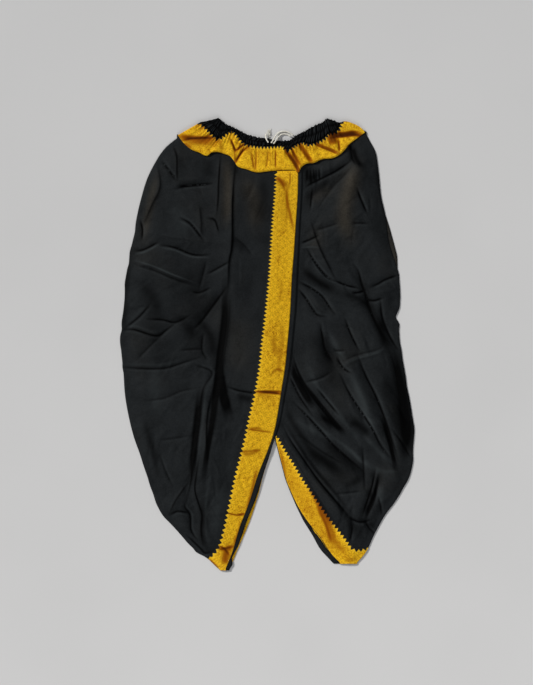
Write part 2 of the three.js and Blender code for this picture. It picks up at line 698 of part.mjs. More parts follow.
// The drawstring comes out of the casing at the centre. Two strands of it lie side by side over the
// casing's edge and go back in at its right shoulder, and a short free end lies to their left.
const STRANDS = [
  {
    name: "drawstring_strand_outer",
    path: [
      [9, 427, 11],
      [13, 433, 10.4],
      [16.5, 439, 7],
      [20, 444.6, 3.8],
      [25, 449.6, 2.1],
      [31.5, 452, 2],
      [39, 452.2, 2],
      [46, 450.2, 2],
      [51.5, 447, 2],
      [55.4, 443.8, 2],
    ],
  },
  {
    name: "drawstring_strand_inner",
    path: [
      [14, 425.5, 11.3],
      [18.5, 431.5, 10.5],
      [22.5, 437.6, 6.2],
      [26.5, 442.6, 3],
      [31.5, 446, 2],
      [38, 446.8, 2],
      [44.5, 445, 2],
      [50, 441.4, 2],
    ],
  },
  {
    name: "drawstring_end_short",
    path: [
      [3, 428, 11.5],
      [-0.5, 433.5, 10.6],
      [-2.4, 439, 7.4],
      [-2, 444.6, 3.8],
      [0.5, 450.5, 2.1],
      [4, 457, 2],
    ],
  },
];

function drawstring() {
  const corner = (k) => {
    const turn = (2 * Math.PI * k) / CORD_SIDES;
    return new THREE.Vector2((CORD / 2) * Math.cos(turn), (CORD / 2) * Math.sin(turn));
  };
  const section = new THREE.Shape(Array.from({ length: CORD_SIDES }, (_, k) => corner(k)));
  for (const { name, path } of STRANDS) {
    const route = new THREE.CatmullRomCurve3(path.map((p) => new THREE.Vector3(...p)));
    const steps = Math.round(route.getLength() / (1.2 * CORD));
    const options = { steps, extrudePath: route, bevelEnabled: false };
    addMesh(name, new THREE.ExtrudeGeometry(section, options), WHITE);
  }
}

frontPanels();
waist();
waistBack();
backs();
drawstring();

export default pants;
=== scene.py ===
"""Dhoti pants laid flat with their front up, seen from straight above."""

import math

import bmesh
import bpy
import numpy as np
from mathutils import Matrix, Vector
from mathutils.bvhtree import BVHTree


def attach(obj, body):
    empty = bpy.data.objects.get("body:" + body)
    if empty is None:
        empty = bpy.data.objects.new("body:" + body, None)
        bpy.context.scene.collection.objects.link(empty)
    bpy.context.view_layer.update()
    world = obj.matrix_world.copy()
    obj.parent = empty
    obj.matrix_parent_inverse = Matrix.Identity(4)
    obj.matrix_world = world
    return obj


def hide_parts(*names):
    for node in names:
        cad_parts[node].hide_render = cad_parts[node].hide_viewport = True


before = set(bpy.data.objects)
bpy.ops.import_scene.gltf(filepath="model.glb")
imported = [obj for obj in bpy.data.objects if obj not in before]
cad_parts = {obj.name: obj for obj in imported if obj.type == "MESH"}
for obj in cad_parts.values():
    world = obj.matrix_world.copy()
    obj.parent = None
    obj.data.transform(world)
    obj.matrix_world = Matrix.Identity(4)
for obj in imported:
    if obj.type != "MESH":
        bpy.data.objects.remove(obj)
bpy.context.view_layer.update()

MM = 0.001  # lengths are in millimetres up to the point where a mesh is made

# The camera looks straight down at the middle of the photograph, which is 1452 mm high at the garment
PHOTO_CENTRE = (-1, 5)
PHOTO_HEIGHT = 1452
CAMERA_HEIGHT = 5000
SENSOR = 36

CLOTH = 0.9  # wall of the thin cloth
TAPE_LIFT = 0.75  # how far a border's top lies over its panel
TAPE = 0.6
CELL = 1.95  # length of a cell of a panel's grid
UNDER = 3  # how many cells of the upper side one cell of the underside spans
STRAIGHT_FROM = 335  # below it the rows of a panel's grid are straight
CROTCH = -193
BACK_CROTCH = -224  # where the back's borders begin
LEFT_ANKLE = -450
RIGHT_ANKLE = -431
MARGIN = 7  # top margin of a panel, under the yoke
SIDE_REACH = 3  # how far the cloth stands out past its solid at the side folds
SIDE_ROLL = 8  # radius of the side folds
TOOTH = 6.6  # length of a tooth of the border
CREASE_LINE = 2.2  # half width of the dark line in a crease
FOLD_POWER = 1.4  # 2 is a round fold, and less is a sharper one
FOLD_TIP = 1.8  # radius of a fold's tip
TO_LIGHT = (-0.8, 0.6)  # direction that the light comes from, seen from above
GLINT = 0.35  # how light the lit wall of a crease is
ROUND, FLAT = 2, 5  # powers that make a shadow fade at once, or stay even up to a clear edge
FOLD_STRENGTH = 1.15  # how much the tables' folds are raised
LEFT_SMALL = 0.9  # the same for the left panel's small wrinkles
UNDER_BLUR = 16  # how often the solids' upper side is softened under the folds
UPPER_FLOOR, SIDE_FLOOR = 2.9, 1.7  # least height of a front panel's upper side, and at its side folds
CROSSING_FLOOR = 4.9  # the same where the left panel lies over the right one
END_BULGE = 8.5  # how far the yoke's right end curves out past a straight line
BACK_TOP = 1.2  # height of the back's upper side
TAPE_UNIT = 9  # length that one of the border's teeth stands for in its pattern


def table(columns, rows):
    """Rows as dictionaries under named columns. What is left of a row is its path, as x, y, x, y."""
    count = len(columns.split())
    paths = [list(zip(row[count::2], row[count + 1::2])) for row in rows]
    return [dict(zip(columns.split(), row), path=path) for row, path in zip(rows, paths)]


# The waist front from the left side fold to the right one: top edge of the casing, the line of the border's
# teeth where casing and yoke meet, and the yoke's lower edge
WAIST = [
    ((-107, 478), (-142, 471), (-189, 444)),
    ((-103, 480), (-132, 463), (-176, 427)),
    ((-99, 478), (-122, 453), (-161, 414)),
    ((-95, 474), (-112, 443), (-144, 407)),
    ((-89, 469), (-103, 437), (-128, 400)),
    ((-83, 466), (-94, 442), (-117, 407)),
    ((-75, 463), (-85, 449), (-104, 408)),
    ((-67, 459), (-74, 453), (-90, 404)),
    ((-55, 453), (-63, 445), (-78, 399)),
    ((-45, 447), (-53, 433), (-69, 388)),
    ((-35, 444), (-45, 426), (-61, 377)),
    ((-21, 440), (-28, 422), (-42, 371)),
    ((-1, 438), (-6, 420), (-21, 365)),
    ((21, 433), (17, 421), (8, 368)),
    ((38, 433), (33, 421), (36, 370)),
    ((49, 434), (43, 413), (57, 370)),
    ((56, 440), (53, 419), (67, 365)),
    ((67, 447), (65, 426), (73, 376)),
    ((80, 453), (76, 429), (85, 384)),
    ((92, 460), (89, 425), (99, 385)),
    ((106, 467), (104, 429), (117, 393)),
    ((118, 472), (120, 437), (138, 395)),
    ((126, 479), (130, 447), (153, 402)),
    ((134, 478), (143, 450), (165, 413)),
    ((140, 476), (150, 456), (175, 425)),
    ((144, 474), (153, 463), (189, 436)),
    ((148, 471), (156, 471), (208, 450)),
]

# The waist back, which lies flat and just inside the front
WAIST_BACK = [
    ((-104, 471), (-134, 462), (-180, 437)),
    ((-84, 455), (-104, 431), (-130, 402)),
    ((-50, 441), (-60, 419), (-76, 383)),
    ((0, 427), (0, 404), (0, 366)),
    ((50, 426), (54, 404), (66, 369)),
    ((92, 449), (102, 421), (120, 391)),
    ((116, 466), (134, 441), (166, 415)),
    ((127, 471), (150, 462), (201, 442)),
]

# Folds of the cloth. Each rises or sinks by rise and dies out over a and b, the widths to the left
# and right of its path; dark is how deep its shadow line is.
LEFT_FOLDS = table("rise a b dark", [
    (3.2, 15, 1.8, 1, -97, 404, -101, 340, -102, 306, -106, 269),
    (2.2, 9, 2, 1, -125, 270, -110, 265, -104, 250, -101, 238),
    (3.6, 1.8, 15, 1, -68, 378, -72, 339, -74, 286, -74, 233, -76, 201, -81, 176, -83, 127, -85, 112),
    (-3.4, 8, 7, 0.3, -86, 122, -88, 90, -90, 60, -95, 15, -99, -12, -104, -60, -110, -100, -118, -150),
    (3, 3, 34, 0.6, -79, 116, -81, 61, -87, 8, -91, -19, -95, -60, -96, -86),
    (-3, 5, 6, 1, -85, 123, -102, 100, -121, 74, -140, 49, -157, 32),
    (-2, 4, 4, 0.8, -136, 25, -138, -11, -127, -32),
    (-1.5, 4, 4, 0.65, -184, -11, -160, -9, -136, -8),
    (3.6, 17, 2.2, 1, -114, -64, -134, -95, -142, -159, -148, -201, -157, -254, -159, -286, -170, -329),
    (2.6, 2, 10, 0.85, -117, -95, -127, -148, -129, -201, -127, -244),
    (3.2, 13, 2, 0.9, -142, -233, -148, -276, -151, -307, -142, -339, -136, -360, -138, -392, -134, -426),
    (2.8, 9, 2.5, 0.8, -161, -286, -180, -312, -195, -335, -206, -360),
    (-2, 4, 3, 0.9, -206, -360, -188, -352, -163, -356),
    (-2.2, 4, 4, 0.9, -170, -329, -174, -343, -163, -360, -161, -392, -148, -413),
    (-2.2, 4, 4, 0.8, -170, -403, -142, -430, -131, -441, -114, -437),
    (-3.8, 4, 5, 1, -193, 330, -176, 335, -150, 338, -117, 342),
    (3, 14, 2, 1, -199, 424, -190, 400, -189, 370, -189, 344),
    (-2.6, 4, 4, 1, -222, 388, -206, 367, -193, 348),
    (2.4, 2.5, 14, 0.65, -233, 384, -227, 335, -244, 297, -263, 254),
    (-2.4, 3.5, 3, 1, -268, 263, -264, 245, -265, 223),
    (-2.2, 4, 3, 1, -184, 269, -163, 257, -142, 231, -134, 218),
    (1.8, 2.5, 9, 0.6, -144, 297, -140, 260, -140, 240, -134, 223),
    (2.4, 3, 10, 0.4, -244, 235, -195, 225, -142, 218, -89, 212),
    (-2.8, 6, 4, 1, -227, 212, -195, 206, -163, 193, -143, 190, -121, 191),
    (-2.4, 4, 5, 1, -280, 198, -258, 203, -229, 218),
    (2.6, 3.5, 3, 0, -278, 177, -237, 164, -195, 146, -153, 132),
    (-1.8, 3.5, 6, 0.6, -278, 170, -237, 157, -195, 139, -153, 126),
    (-2.2, 5, 4, 0.9, -127, 150, -110, 159, -78, 177),
    (-1.8, 7, 3, 0.65, -129, 178, -136, 150, -145, 117),
    (-2, 4, 4, 0.9, -159, 113, -142, 111, -119, 122),
    (-2.2, 5, 4, 0.9, -300, 36, -269, 61, -246, 88),
    (-2.2, 4, 5, 0.9, -254, 55, -220, 53, -193, 48, -160, 65),
    (-2.6, 5, 4, 1, -308, 32, -280, 32, -235, 19, -214, 31, -193, 47),
    (-2, 5, 6, 0.6, -276, -32, -248, -2, -216, 28),
    (-2.4, 5, 5, 0.8, -308, -47, -262, -50, -216, -49, -174, -36, -140, -25),
    (-1.8, 4, 4, 0.65, -153, -42, -117, -57, -131, -85),
    (-1.8, 7, 7, 0.5, -259, -118, -216, -112, -184, -98, -142, -89),
    (-1.4, 6, 6, 0.45, -227, -201, -195, -197, -163, -191),
    (-1.6, 5, 6, 0.5, -227, -233, -216, -265, -201, -297),
    (1.4, 3, 3, 0, -131, -357, -112, -358, -95, -358),
    (-1.6, 8, 6, 0.4, -70, 228, -50, 212, -32, 190),
    (2.5, 14, 16, 0, -62, 350, -48, 318, -34, 280, -28, 240),
    (2, 20, 20, 0, -230, 120, -235, 60, -240, 0),
    (2.6, 16, 20, 0, -110, -120, -108, -200, -104, -280, -112, -350),
    (-1.8, 3, 6, 0.9, -84, -88, -62, -96, -40, -100, -14, -103),
])
RIGHT_FOLDS = table("rise a b dark", [
    (-3.2, 6, 8, 1, 74, 329, 90, 340, 108, 349, 144, 367, 172, 386, 181, 397),
    (-3.8, 6, 4, 1, 174, 428, 178, 412, 180, 396, 187, 382),
    (3.8, 16, 20, 0, 193, 384, 184, 350, 176, 318, 165, 254),
    (-3, 12, 9, 0.45, 178, 376, 156, 352, 134, 329, 106, 288),
    (-2.2, 4, 3, 1, 190, 331, 199, 307, 212, 277),
    (-2.2, 3, 4, 0.8, 96, 331, 93, 306, 91, 286),
    (2, 2.4, 9, 0.75, 91, 263, 104, 223, 117, 191, 144, 138),
    (-1.8, 5, 4, 0.6, 102, 243, 126, 250, 151, 258),
    (-1.6, 3, 3, 0.7, 180, 257, 197, 258, 214, 257),
    (-2.6, 5, 4, 1, 68, 215, 88, 222, 108, 231),
    (1.6, 2.6, 2.6, 0, 70, 206, 93, 207, 117, 206),
    (-3, 4, 4, 1, 85, 203, 98, 180, 123, 148, 140, 137),
    (1.8, 2.6, 2.6, 0, 88, 190, 106, 160, 128, 138, 150, 130),
    (-3, 5, 4, 1, 142, 137, 158, 130, 172, 125, 195, 120),
    (-2.2, 4, 5, 1, 218, 122, 236, 130, 250, 138, 279, 149),
    (-3.6, 6, 7, 1, 182, 171, 193, 155, 201, 127, 210, 102, 218, 74, 229, 49, 250, 11),
    (-2.2, 3, 4, 1, 180, 110, 193, 111, 208, 115),
    (-2.4, 3, 4, 1, 210, 101, 216, 95, 228, 94, 246, 100),
    (-3, 6, 4, 1, 239, 97, 244, 57, 261, 15, 278, -12),
    (-3, 4, 5, 1, 64, 135, 95, 119, 117, 102, 132, 80, 144, 64),
    (-3.6, 4, 5, 1, 62, 122, 81, 100, 100, 70, 110, 62, 125, 60),
    (3, 9, 8, 0, 66, 128, 90, 108, 110, 84, 126, 68),
    (-2.2, 4, 5, 0.95, 165, 54, 176, 25, 194, -12),
    (-3.2, 6, 4, 1, 112, 44, 117, 18, 123, -11, 139, -37),
    (-1.6, 3, 3, 0.6, 140, -11, 153, -12, 166, -11),
    (-2.6, 4, 4, 1, 147, -26, 161, -49, 178, -60),
    (2.2, 3, 3, 0, 159, -43, 187, -29, 235, -16, 248, -5),
    (-1.8, 5, 2.5, 0.55, 159, -36, 187, -22, 235, -9, 246, 2),
    (-3.2, 5, 6, 1, 190, -19, 208, -64, 229, -106, 250, -159, 271, -223, 277, -246),
    (-2.8, 5, 5, 1, 154, -62, 176, -106, 218, -170, 240, -212, 263, -242),
    (-1.8, 4, 4, 0.7, 79, -79, 112, -70, 136, -56),
    (-3.2, 5, 6, 1, 50, -12, 64, -53, 81, -85, 123, -142, 163, -182),
    (-2.2, 4, 4, 0.9, 40, -55, 56, -84, 70, -112, 95, -148),
    (-2.2, 4, 4, 0.9, 106, -93, 128, -120, 151, -148),
    (-2.8, 5, 6, 1, 54, -120, 84, -150, 112, -180, 144, -216, 203, -267),
    (-2.4, 9, 9, 0.45, 68, -189, 112, -223, 165, -254),
    (-3.8, 8, 3.5, 1, 30, -165, 49, -201, 81, -248, 108, -286, 144, -329, 178, -368),
    (3.4, 7, 6, 0, 28, -185, 60, -232, 98, -286, 134, -330),
    (-2, 6, 5, 0.7, 201, -214, 204, -260, 206, -309),
    (-3, 3, 6, 1, 229, -263, 225, -285, 219, -310, 201, -362),
    (-3, 4, 3, 1, 236, -274, 233, -296, 227, -325, 208, -369),
    (-2, 4, 4, 0.7, 235, -322, 240, -342, 243, -360),
    (-1.8, 6, 6, 0.55, 146, -315, 172, -312, 199, -309),
    (-2, 3, 4, 0.95, 174, -366, 197, -375, 220, -370),
    (-2, 4, 4, 0.8, 207, -373, 216, -388, 230, -402),
    (-2, 4, 4, 0.8, 181, -380, 179, -396, 175, -416),
    (-2.4, 5, 5, 0.8, 249, -168, 260, -206, 270, -246),
    (-2.2, 5, 5, 0.7, 264, -178, 288, -212, 306, -243),
    (-3.4, 14, 16, 0.4, 254, 0, 268, -40, 278, -80, 289, -140, 292, -180),
    (2.6, 14, 14, 0, 140, 40, 170, -40, 210, -120, 232, -180),
    (2.6, 12, 12, 0, 70, -60, 104, -118, 150, -180, 206, -240),
    (2, 16, 16, 0, 230, 250, 246, 200, 254, 150),
])
TUFT = table("rise a b dark", [
    (-2.2, 2.4, 2.4, 0.8, x, 374, x + lean, 352, x + 2 * lean, foot)
    for x, lean, foot in [
        (73, 0, 330), (79, 1, 338), (85, -1, 344), (92, 1, 338), (98, 2, 346), (104, 0, 340), (110, 1, 350),
    ]
])
YOKE_FOLDS = table("rise a b dark", [
    (-3, 4, 7, 1, -178, 433, -162, 437, -144, 438, -114, 439),
    (-2.6, 3, 3, 0.9, -78, 437, -72, 424, -66, 410),
    (-2.2, 3, 3, 0.75, -46, 427, -56, 419, -66, 411),
    (-2.6, 3, 3, 0.9, -40, 421, -57, 403, -69, 384),
    (-1.4, 3, 3, 0.6, -33, 405, -30, 388, -28, 371),
    (-1, 2.5, 2.5, 0.45, -23, 413, -23, 392, -24, 370),
    (-1, 2.5, 2.5, 0.45, 2, 413, 1, 392, -2, 372),
    (-1, 2.5, 2.5, 0.45, 19, 413, 18, 392, 18, 372),
    (-3.6, 3, 5, 0.5, 39, 415, 46, 403, 55, 391, 62, 378, 66, 364),
    (-2.6, 3, 3, 0.5, 53, 415, 59, 398, 65, 380),
    (-2.6, 3, 3, 0.4, 69, 425, 83, 403, 95, 388),
    (-3, 4, 4, 0.4, 100, 429, 112, 421, 124, 415, 148, 406),
    (-3, 5, 6, 0.6, 130, 436, 146, 441, 164, 443, 182, 446, 203, 443),
    (-1.8, 3, 3, 0.75, 150, 437, 152, 420, 153, 407),
    (2, 7, 7, 0, -90, 440, -100, 425, -112, 410),
    (2, 7, 7, 0, 80, 424, 92, 408, 104, 392),
    (2.2, 9, 8, 0, 120, 432, 138, 424, 160, 415),
])
STRIP_FOLDS = table("rise a b dark", [
    (-1, 4, 5, 1, -18, -100, 8, -101, 32, -104),
    (-1, 8, 8, 0.55, -44, -178, -16, -182, 14, -186),
    (-1, 6, 6, 0.4, -60, -226, -34, -224, -10, -222),
    (-1, 3, 3, 0.7, -62, -360, -54, -358, -46, -357),
    (-1, 5, 6, 0.75, -104, -424, -90, -432, -80, -446),
    (-1, 8, 8, 0.35, 26, 352, 34, 338, 38, 324),
    (-1, 9, 9, 0.2, 40, 318, 42, 280, 40, 244),
])

# Broad painted shadows, even ones with a clear edge, painted highlights where dark is below 0, and a painted
# warm sheen, with how far each fades on both sides of its path
LEFT_PATCHES = table("dark soft", [
    (0.6, 9, -66, -108, -46, -112, -30, -116),
    (0.6, 6, -142, -330, -136, -362, -138, -400, -128, -432),
    (0.4, 30, -160, 190, -150, 60, -140, -40),
    (0.3, 22, -260, 150, -240, 40, -230, -40),
    (0.9, 2.4, -192, 336, -160, 338, -116, 341),
    (0.45, 13, -125, 396, -123, 352),
    (0.45, 12, -11, 358, -6, 307, -19, 254),
    (0.4, 13, -74, 226, -44, 200),
    (0.5, 7, -289, 237, -302, 90, -306, 0),
    (0.55, 9, -150, 60, -120, 20, -112, -30),
    (0.4, 12, -270, 130, -240, 100, -230, 60),
    (0.5, 7, -262, -150, -240, -230, -228, -290),
    (-0.8, 1.8, -278, 178, -237, 165, -195, 147, -150, 131),
    (-0.45, 2, -280, 192, -258, 197, -229, 212),
    (-0.45, 2, -227, 206, -195, 200, -163, 187, -124, 185),
    (-0.4, 3, -300, 44, -272, 66, -250, 92),
    (-0.4, 3, -304, 40, -276, 39, -236, 27, -210, 40),
    (-0.35, 3, -300, -40, -262, -42, -216, -41, -174, -28),
    (-0.4, 4, -160, 40, -138, 62, -118, 84, -100, 108),
    (0.5, 7, -140, 60, -116, 84, -96, 106),
    (0.4, 10, -200, 70, -170, 40, -150, 10),
    (-0.4, 2, -244, 237, -195, 227, -142, 220, -92, 214),
    (-0.4, 3, -108, -70, -128, -98, -136, -160, -142, -201, -150, -256),
    (-0.35, 3, -119, -268, -128, -322, -130, -372, -126, -420),
    (-0.35, 2, -186, 262, -163, 250, -144, 224),
    (-0.3, 12, -230, -50, -240, -90, -232, -150),
    (-0.35, 14, -100, -300, -104, -350, -112, -400),
    (-0.3, 14, -200, 300, -180, 260, -190, 230),
]) + table("flat soft", [
    (0.97, 8, -88, 136, -89, 61, -95, 8, -99, -19, -102, -60, -108, -100, -113, -150, -118, -190),
    (0.97, 11, -104, -40, -97, -80, -92, -106, -86, -130, -80, -154),
    (0.9, 8, -140, -95, -147, -150, -154, -220, -160, -290),
    (0.85, 6, -112, -130, -119, -185, -127, -230, -133, -275),
]) + table("warm soft", [
    (0.85, 11, -85, 394, -83, 307, -87, 256),
    (0.7, 17, -47, 352, -26, 300, -24, 248),
    (0.6, 9, -233, 362, -252, 276, -262, 222),
    (0.25, 30, -60, 60, -60, -60),
])
RIGHT_PATCHES = table("dark soft", [
    (0.75, 13, 76, 372, 88, 356, 102, 346),
    (0.95, 7, 180, 424, 189, 392, 203, 374),
    (0.6, 10, 232, 390, 246, 307, 256, 262),
    (0.55, 9, 136, 356, 108, 330, 78, 307),
    (0.8, 10, 72, 163, 108, 134, 146, 112),
    (0.6, 9, 155, 112, 197, 95, 223, 70),
    (0.95, 8, 61, -57, 76, -91, 95, -127),
    (0.8, 9, 106, -146, 144, -170, 165, -184),
    (0.7, 10, 174, -158, 201, -176, 218, -193),
    (0.95, 13, 268, 0, 284, -95, 295, -180, 290, -233),
    (0.6, 11, 74, -214, 123, -248, 165, -278),
    (0.6, 8, 210, -303, 223, -329, 203, -360),
    (0.6, 8, 38, -130, 66, -184, 104, -232),
    (0.6, 9, 196, 150, 208, 110, 226, 62, 246, 22),
    (0.55, 8, 120, 30, 128, -14, 142, -42),
    (0.6, 16, 120, -190, 160, -235, 210, -280),
    (0.75, 12, 236, 60, 246, 20, 256, -12),
    (0.45, 20, 240, -60, 262, -120, 276, -200),
    (0.45, 16, 90, 30, 120, -20, 150, -90),
    (0.5, 12, 150, -330, 180, -380, 200, -410),
    (0.5, 18, 290, -60, 296, -140, 290, -220),
    (0.7, 5, 36, -163, 65, -210, 95, -255, 136, -303, 176, -356),
    (0.55, 12, 282, -130, 296, -190, 292, -240),
    (0.75, 6, 242, -270, 232, -300, 222, -330, 208, -364),
    (0.5, 8, 164, -302, 182, -292, 202, -278),
    (0.4, 14, 92, -228, 122, -242, 152, -262),
    (0.5, 6, 190, -364, 208, -376, 230, -386),
    (-0.5, 4, 100, -164, 140, -196, 176, -222, 208, -258),
    (-0.5, 5, 206, -192, 234, -222, 262, -250),
    (-0.4, 4, 232, -262, 254, -268, 280, -266),
    (-0.4, 3, 34, -176, 58, -216, 84, -256, 118, -304),
    (-0.5, 7, 36, -180, 91, -248, 155, -329, 180, -363),
    (-0.5, 7, 49, -155, 133, -201, 218, -257, 261, -282),
    (-0.6, 8, 176, -57, 201, -117, 227, -201),
    (-0.4, 6, 84, -40, 110, -96, 150, -146, 196, -204),
    (-0.4, 5, 226, -80, 252, -140, 278, -210),
    (-0.6, 1.6, 161, -45, 187, -31, 235, -17, 246, -8),
    (-0.5, 1.6, 70, 206, 93, 207, 117, 205),
    (-0.5, 1.6, 90, 189, 106, 160, 128, 138, 148, 130),
    (-0.4, 6, 126, 30, 150, -10, 166, -34),
    (-0.4, 8, 228, -296, 240, -310, 236, -340),
]) + table("flat soft", [
    (0.9, 6, 44, -14, 56, -58, 72, -92, 94, -128),
    (0.9, 5, 82, -85, 104, -116, 130, -148, 158, -184),
    (0.85, 5, 242, -150, 252, -180, 262, -214, 274, -270),
]) + table("warm soft", [
    (1, 16, 189, 384, 176, 339, 163, 276, 176, 222),
    (0.45, 12, 91, 307, 118, 322, 140, 332),
    (0.3, 16, 110, 250, 100, 200),
])
YOKE_PATCHES = table("dark soft", [
    (0.7, 6, -192, 443, -160, 438, -138, 436, -104, 437),
    (0.45, 9, -184, 436, -158, 430, -132, 428, -110, 424),
    (0.45, 4, -176, 426, -166, 420, -158, 416),
    (0.35, 5, -104, 437, -98, 424, -94, 408),
    (0.65, 2.2, -76, 433, -72, 422, -68, 412, -56, 419, -46, 426),
    (0.5, 2, -68, 414, -68, 400, -69, 386),
    (0.65, 2.4, -46, 425, -56, 404, -68, 382),
    (0.4, 2, -38, 408, -26, 396, -25, 366),
    (0.4, 1.5, 6, 414, 7, 392, 6, 372),
    (0.4, 1.5, 18, 414, 18, 392, 18, 374),
    (0.35, 1.5, -17, 412, -18, 392, -18, 376),
    (0.3, 4, -54, 420, -66, 404),
    (0.4, 9, 46, 410, 60, 392, 72, 372),
    (0.6, 3, 52, 416, 60, 400, 70, 380),
    (0.6, 5, 172, 446, 186, 445, 204, 442),
    (0.35, 3, 154, 437, 155, 409),
    (0.3, 4, 168, 440, 178, 432),
]) + table("flat soft", [
    (0.7, 4, 40, 412, 54, 392, 63, 377, 71, 358),
    (0.6, 5.5, 66, 429, 81, 407, 98, 381),
    (0.62, 4, 98, 429, 118, 419, 134, 413, 156, 402),
    (0.75, 9, 138, 458, 139, 440, 140, 422),
    (0.9, 6.5, 138, 441, 150, 443.5, 166, 445, 180, 447.5, 196, 447),
])
STRIP_PATCHES = table("dark soft", [
    (0.55, 7, 16, 356, 30, 346, 42, 334),
    (0.5, 3.5, 42, 344, 42, 318, 45, 295, 52, 262, 58, 236),
    (0.15, 12, 28, 340, 36, 300, 40, 250),
    (0.6, 1.4, 48, 369, 49, 350, 47, 333),
    (0.25, 5, 28, 140, 30, 110, 24, 84),
    (0.35, 8, 18, 24, 14, 4, 22, -20),
    (0.3, 6, 30, 60, 32, 10, 26, -40, 24, -80),
    (0.4, 3, 8, -64, 20, -52, 38, -57),
    (0.9, 1.7, -32, -99, 0, -98, 36, -99),
    (0.4, 5, -28, -106, 0, -104, 34, -105),
    (0.45, 3, -40, -179, -26, -176, -8, -178),
    (0.45, 5, -57, -228, -36, -230, -12, -222),
    (0.5, 4, -20, -256, -30, -300, -45, -356),
    (0.75, 1.8, -92, -353, -66, -360, -43, -361),
    (0.55, 6, -46, -366, -58, -396, -72, -430),
    (0.8, 3, -104, -433, -88, -431, -70, -426),
    (0.62, 10, -80, -422, -87, -445, -89, -468),
    (0.6, 2.5, -124, -452, -113, -463, -102, -474),
])
TAPE_PATCHES = table("dark soft", [
    (0.6, 6, 86, -296, 118, -346, 142, -386),
    (0.5, 3, 106, -345, 124, -380, 136, -416),
    (0.35, 3, 24, -205, 34, -250, 42, -288),
    (0.35, 9, 128, -396, 150, -424, 170, -444),
    (0.42, 6, 104, -332, 122, -362, 134, -387, 147, -413),
    (0.3, 2, 99, -326, 112, -350, 123, -374, 131, -398, 136, -424),
    (0.22, 18, 30, -230, 62, -300, 98, -360, 130, -420, 160, -450),
    (0.3, 5, 160, -456, 178, -456, 194, -452),
])
# a painted warm sheen on the strip of the back that shows past the right panel's side
BACK_PATCHES = table("warm soft", [
    (1, 14, 256, 292, 268, 240, 274, 200, 280, 150),
])

# Where small wrinkles lie: a middle and half sizes, how many there are, their main direction and its spread
# in degrees
LEFT_WRINKLES = [
    ((-200, 300), (80, 100), 60, -20, 60),
    ((-210, 120), (90, 110), 80, 10, 40),
    ((-200, -80), (95, 110), 80, 20, 50),
    ((-185, -270), (80, 100), 70, 70, 45),
    ((-150, -390), (50, 60), 40, -50, 50),
    ((-40, 250), (40, 110), 16, 80, 25),
    ((-90, -150), (40, 160), 40, 80, 25),
]
RIGHT_WRINKLES = [
    ((160, 280), (90, 110), 70, 50, 50),
    ((175, 100), (105, 100), 100, -35, 45),
    ((165, -70), (125, 100), 120, -50, 30),
    ((175, -220), (120, 90), 120, -50, 30),
    ((195, -360), (60, 70), 60, 70, 45),
]
BACK_WRINKLES = [
    ((0, 200), (280, 200), 120, 80, 60),
    ((0, -150), (300, 250), 160, 70, 60),
]

# Small bumps and notches of the side folds: their height on the garment, how far each stands out past the
# smooth line, and over what length
LEFT_OUTLINE = [
    (-440, -6, 7), (-480, 5, 5), (32, 2.5, 10), (-10, 1.2, 16), (198, -1.6, 10), (172, 1.4, 9),
    (238, 1.6, 14), (130, -1.2, 12), (-48, -1.4, 8), (-230, 1.2, 20), (-300, -1.4, 14), (-352, 2, 12),
]
RIGHT_OUTLINE = [
    (222, -4.5, 42), (58, -5, 9), (44, 2, 10), (80, 2, 9), (150, 1.2, 12), (-12, 1.4, 14), (-90, -1.2, 16),
    (-176, 1.4, 14), (-246, 1.5, 12), (-300, -1.6, 14),
]
FLAP_OUTLINE = [(-465, 4.5, 8)]

# The border's teeth: their spacing from one end of each stretch to the other, and the right border's line
LEFT_PITCH = [7.6, 8.2, 9, 10.2, 11]
RIGHT_PITCH = [8.4, 9, 9.6, 9]
YOKE_PITCH = [8.6, 7.6, 7, 7, 7.6]
RIGHT_TEETH = [
    (20, -187), (23, -191), (32, -207), (46, -231), (61, -254), (75, -279), (92, -304), (109, -330),
    (126, -355), (143, -378), (160, -399), (172, -415), (179, -426), (186, -431), (195, -432), (204, -431),
    (213, -428),
]

# Routes of the drawstring, the same as their solids': two strands that go back into the casing and a short
# free end
STRANDS = {
    "drawstring_strand_outer": [
        (9, 427, 11), (13, 433, 10.4), (16.5, 439, 7), (20, 444.6, 3.8), (25, 449.6, 2.1), (31.5, 452, 2),
        (39, 452.2, 2), (46, 450.2, 2), (51.5, 447, 2), (55.4, 443.8, 2),
    ],
    "drawstring_strand_inner": [
        (14, 425.5, 11.3), (18.5, 431.5, 10.5), (22.5, 437.6, 6.2), (26.5, 442.6, 3), (31.5, 446, 2),
        (38, 446.8, 2), (44.5, 445, 2), (50, 441.4, 2),
    ],
    "drawstring_end_short": [
        (3, 428, 11.5), (-0.5, 433.5, 10.6), (-2.4, 439, 7.4), (-2, 444.6, 3.8), (0.5, 450.5, 2.1),
        (4, 457, 2),
    ],
}
CORD = 3.2  # thickness of the drawstring
FRAYED = "drawstring_end_short"
FIBRES = 24


def smooth(value, low, high):
    """0 up to low, 1 from high, and a soft step between them."""
    t = np.clip((value - low) / (high - low), 0, 1)
    return t * t * (3 - 2 * t)


def curve_points(path, per_part=6):
    """A Catmull-Rom curve through the points of a path."""
    p = np.array(path, float)
    ends = np.vstack([2 * p[0] - p[1], p, 2 * p[-1] - p[-2]])
    t = np.linspace(0, 1, per_part, endpoint=False)[:, None]
    parts = []
    for a, b, c, d in zip(ends, ends[1:], ends[2:], ends[3:]):
        square, cube = 2 * a - 5 * b + 4 * c - d, 3 * b - a - 3 * c + d
        parts.append(0.5 * (2 * b + (c - a) * t + square * t**2 + cube * t**3))
    return np.vstack(parts + [p[-1:]])


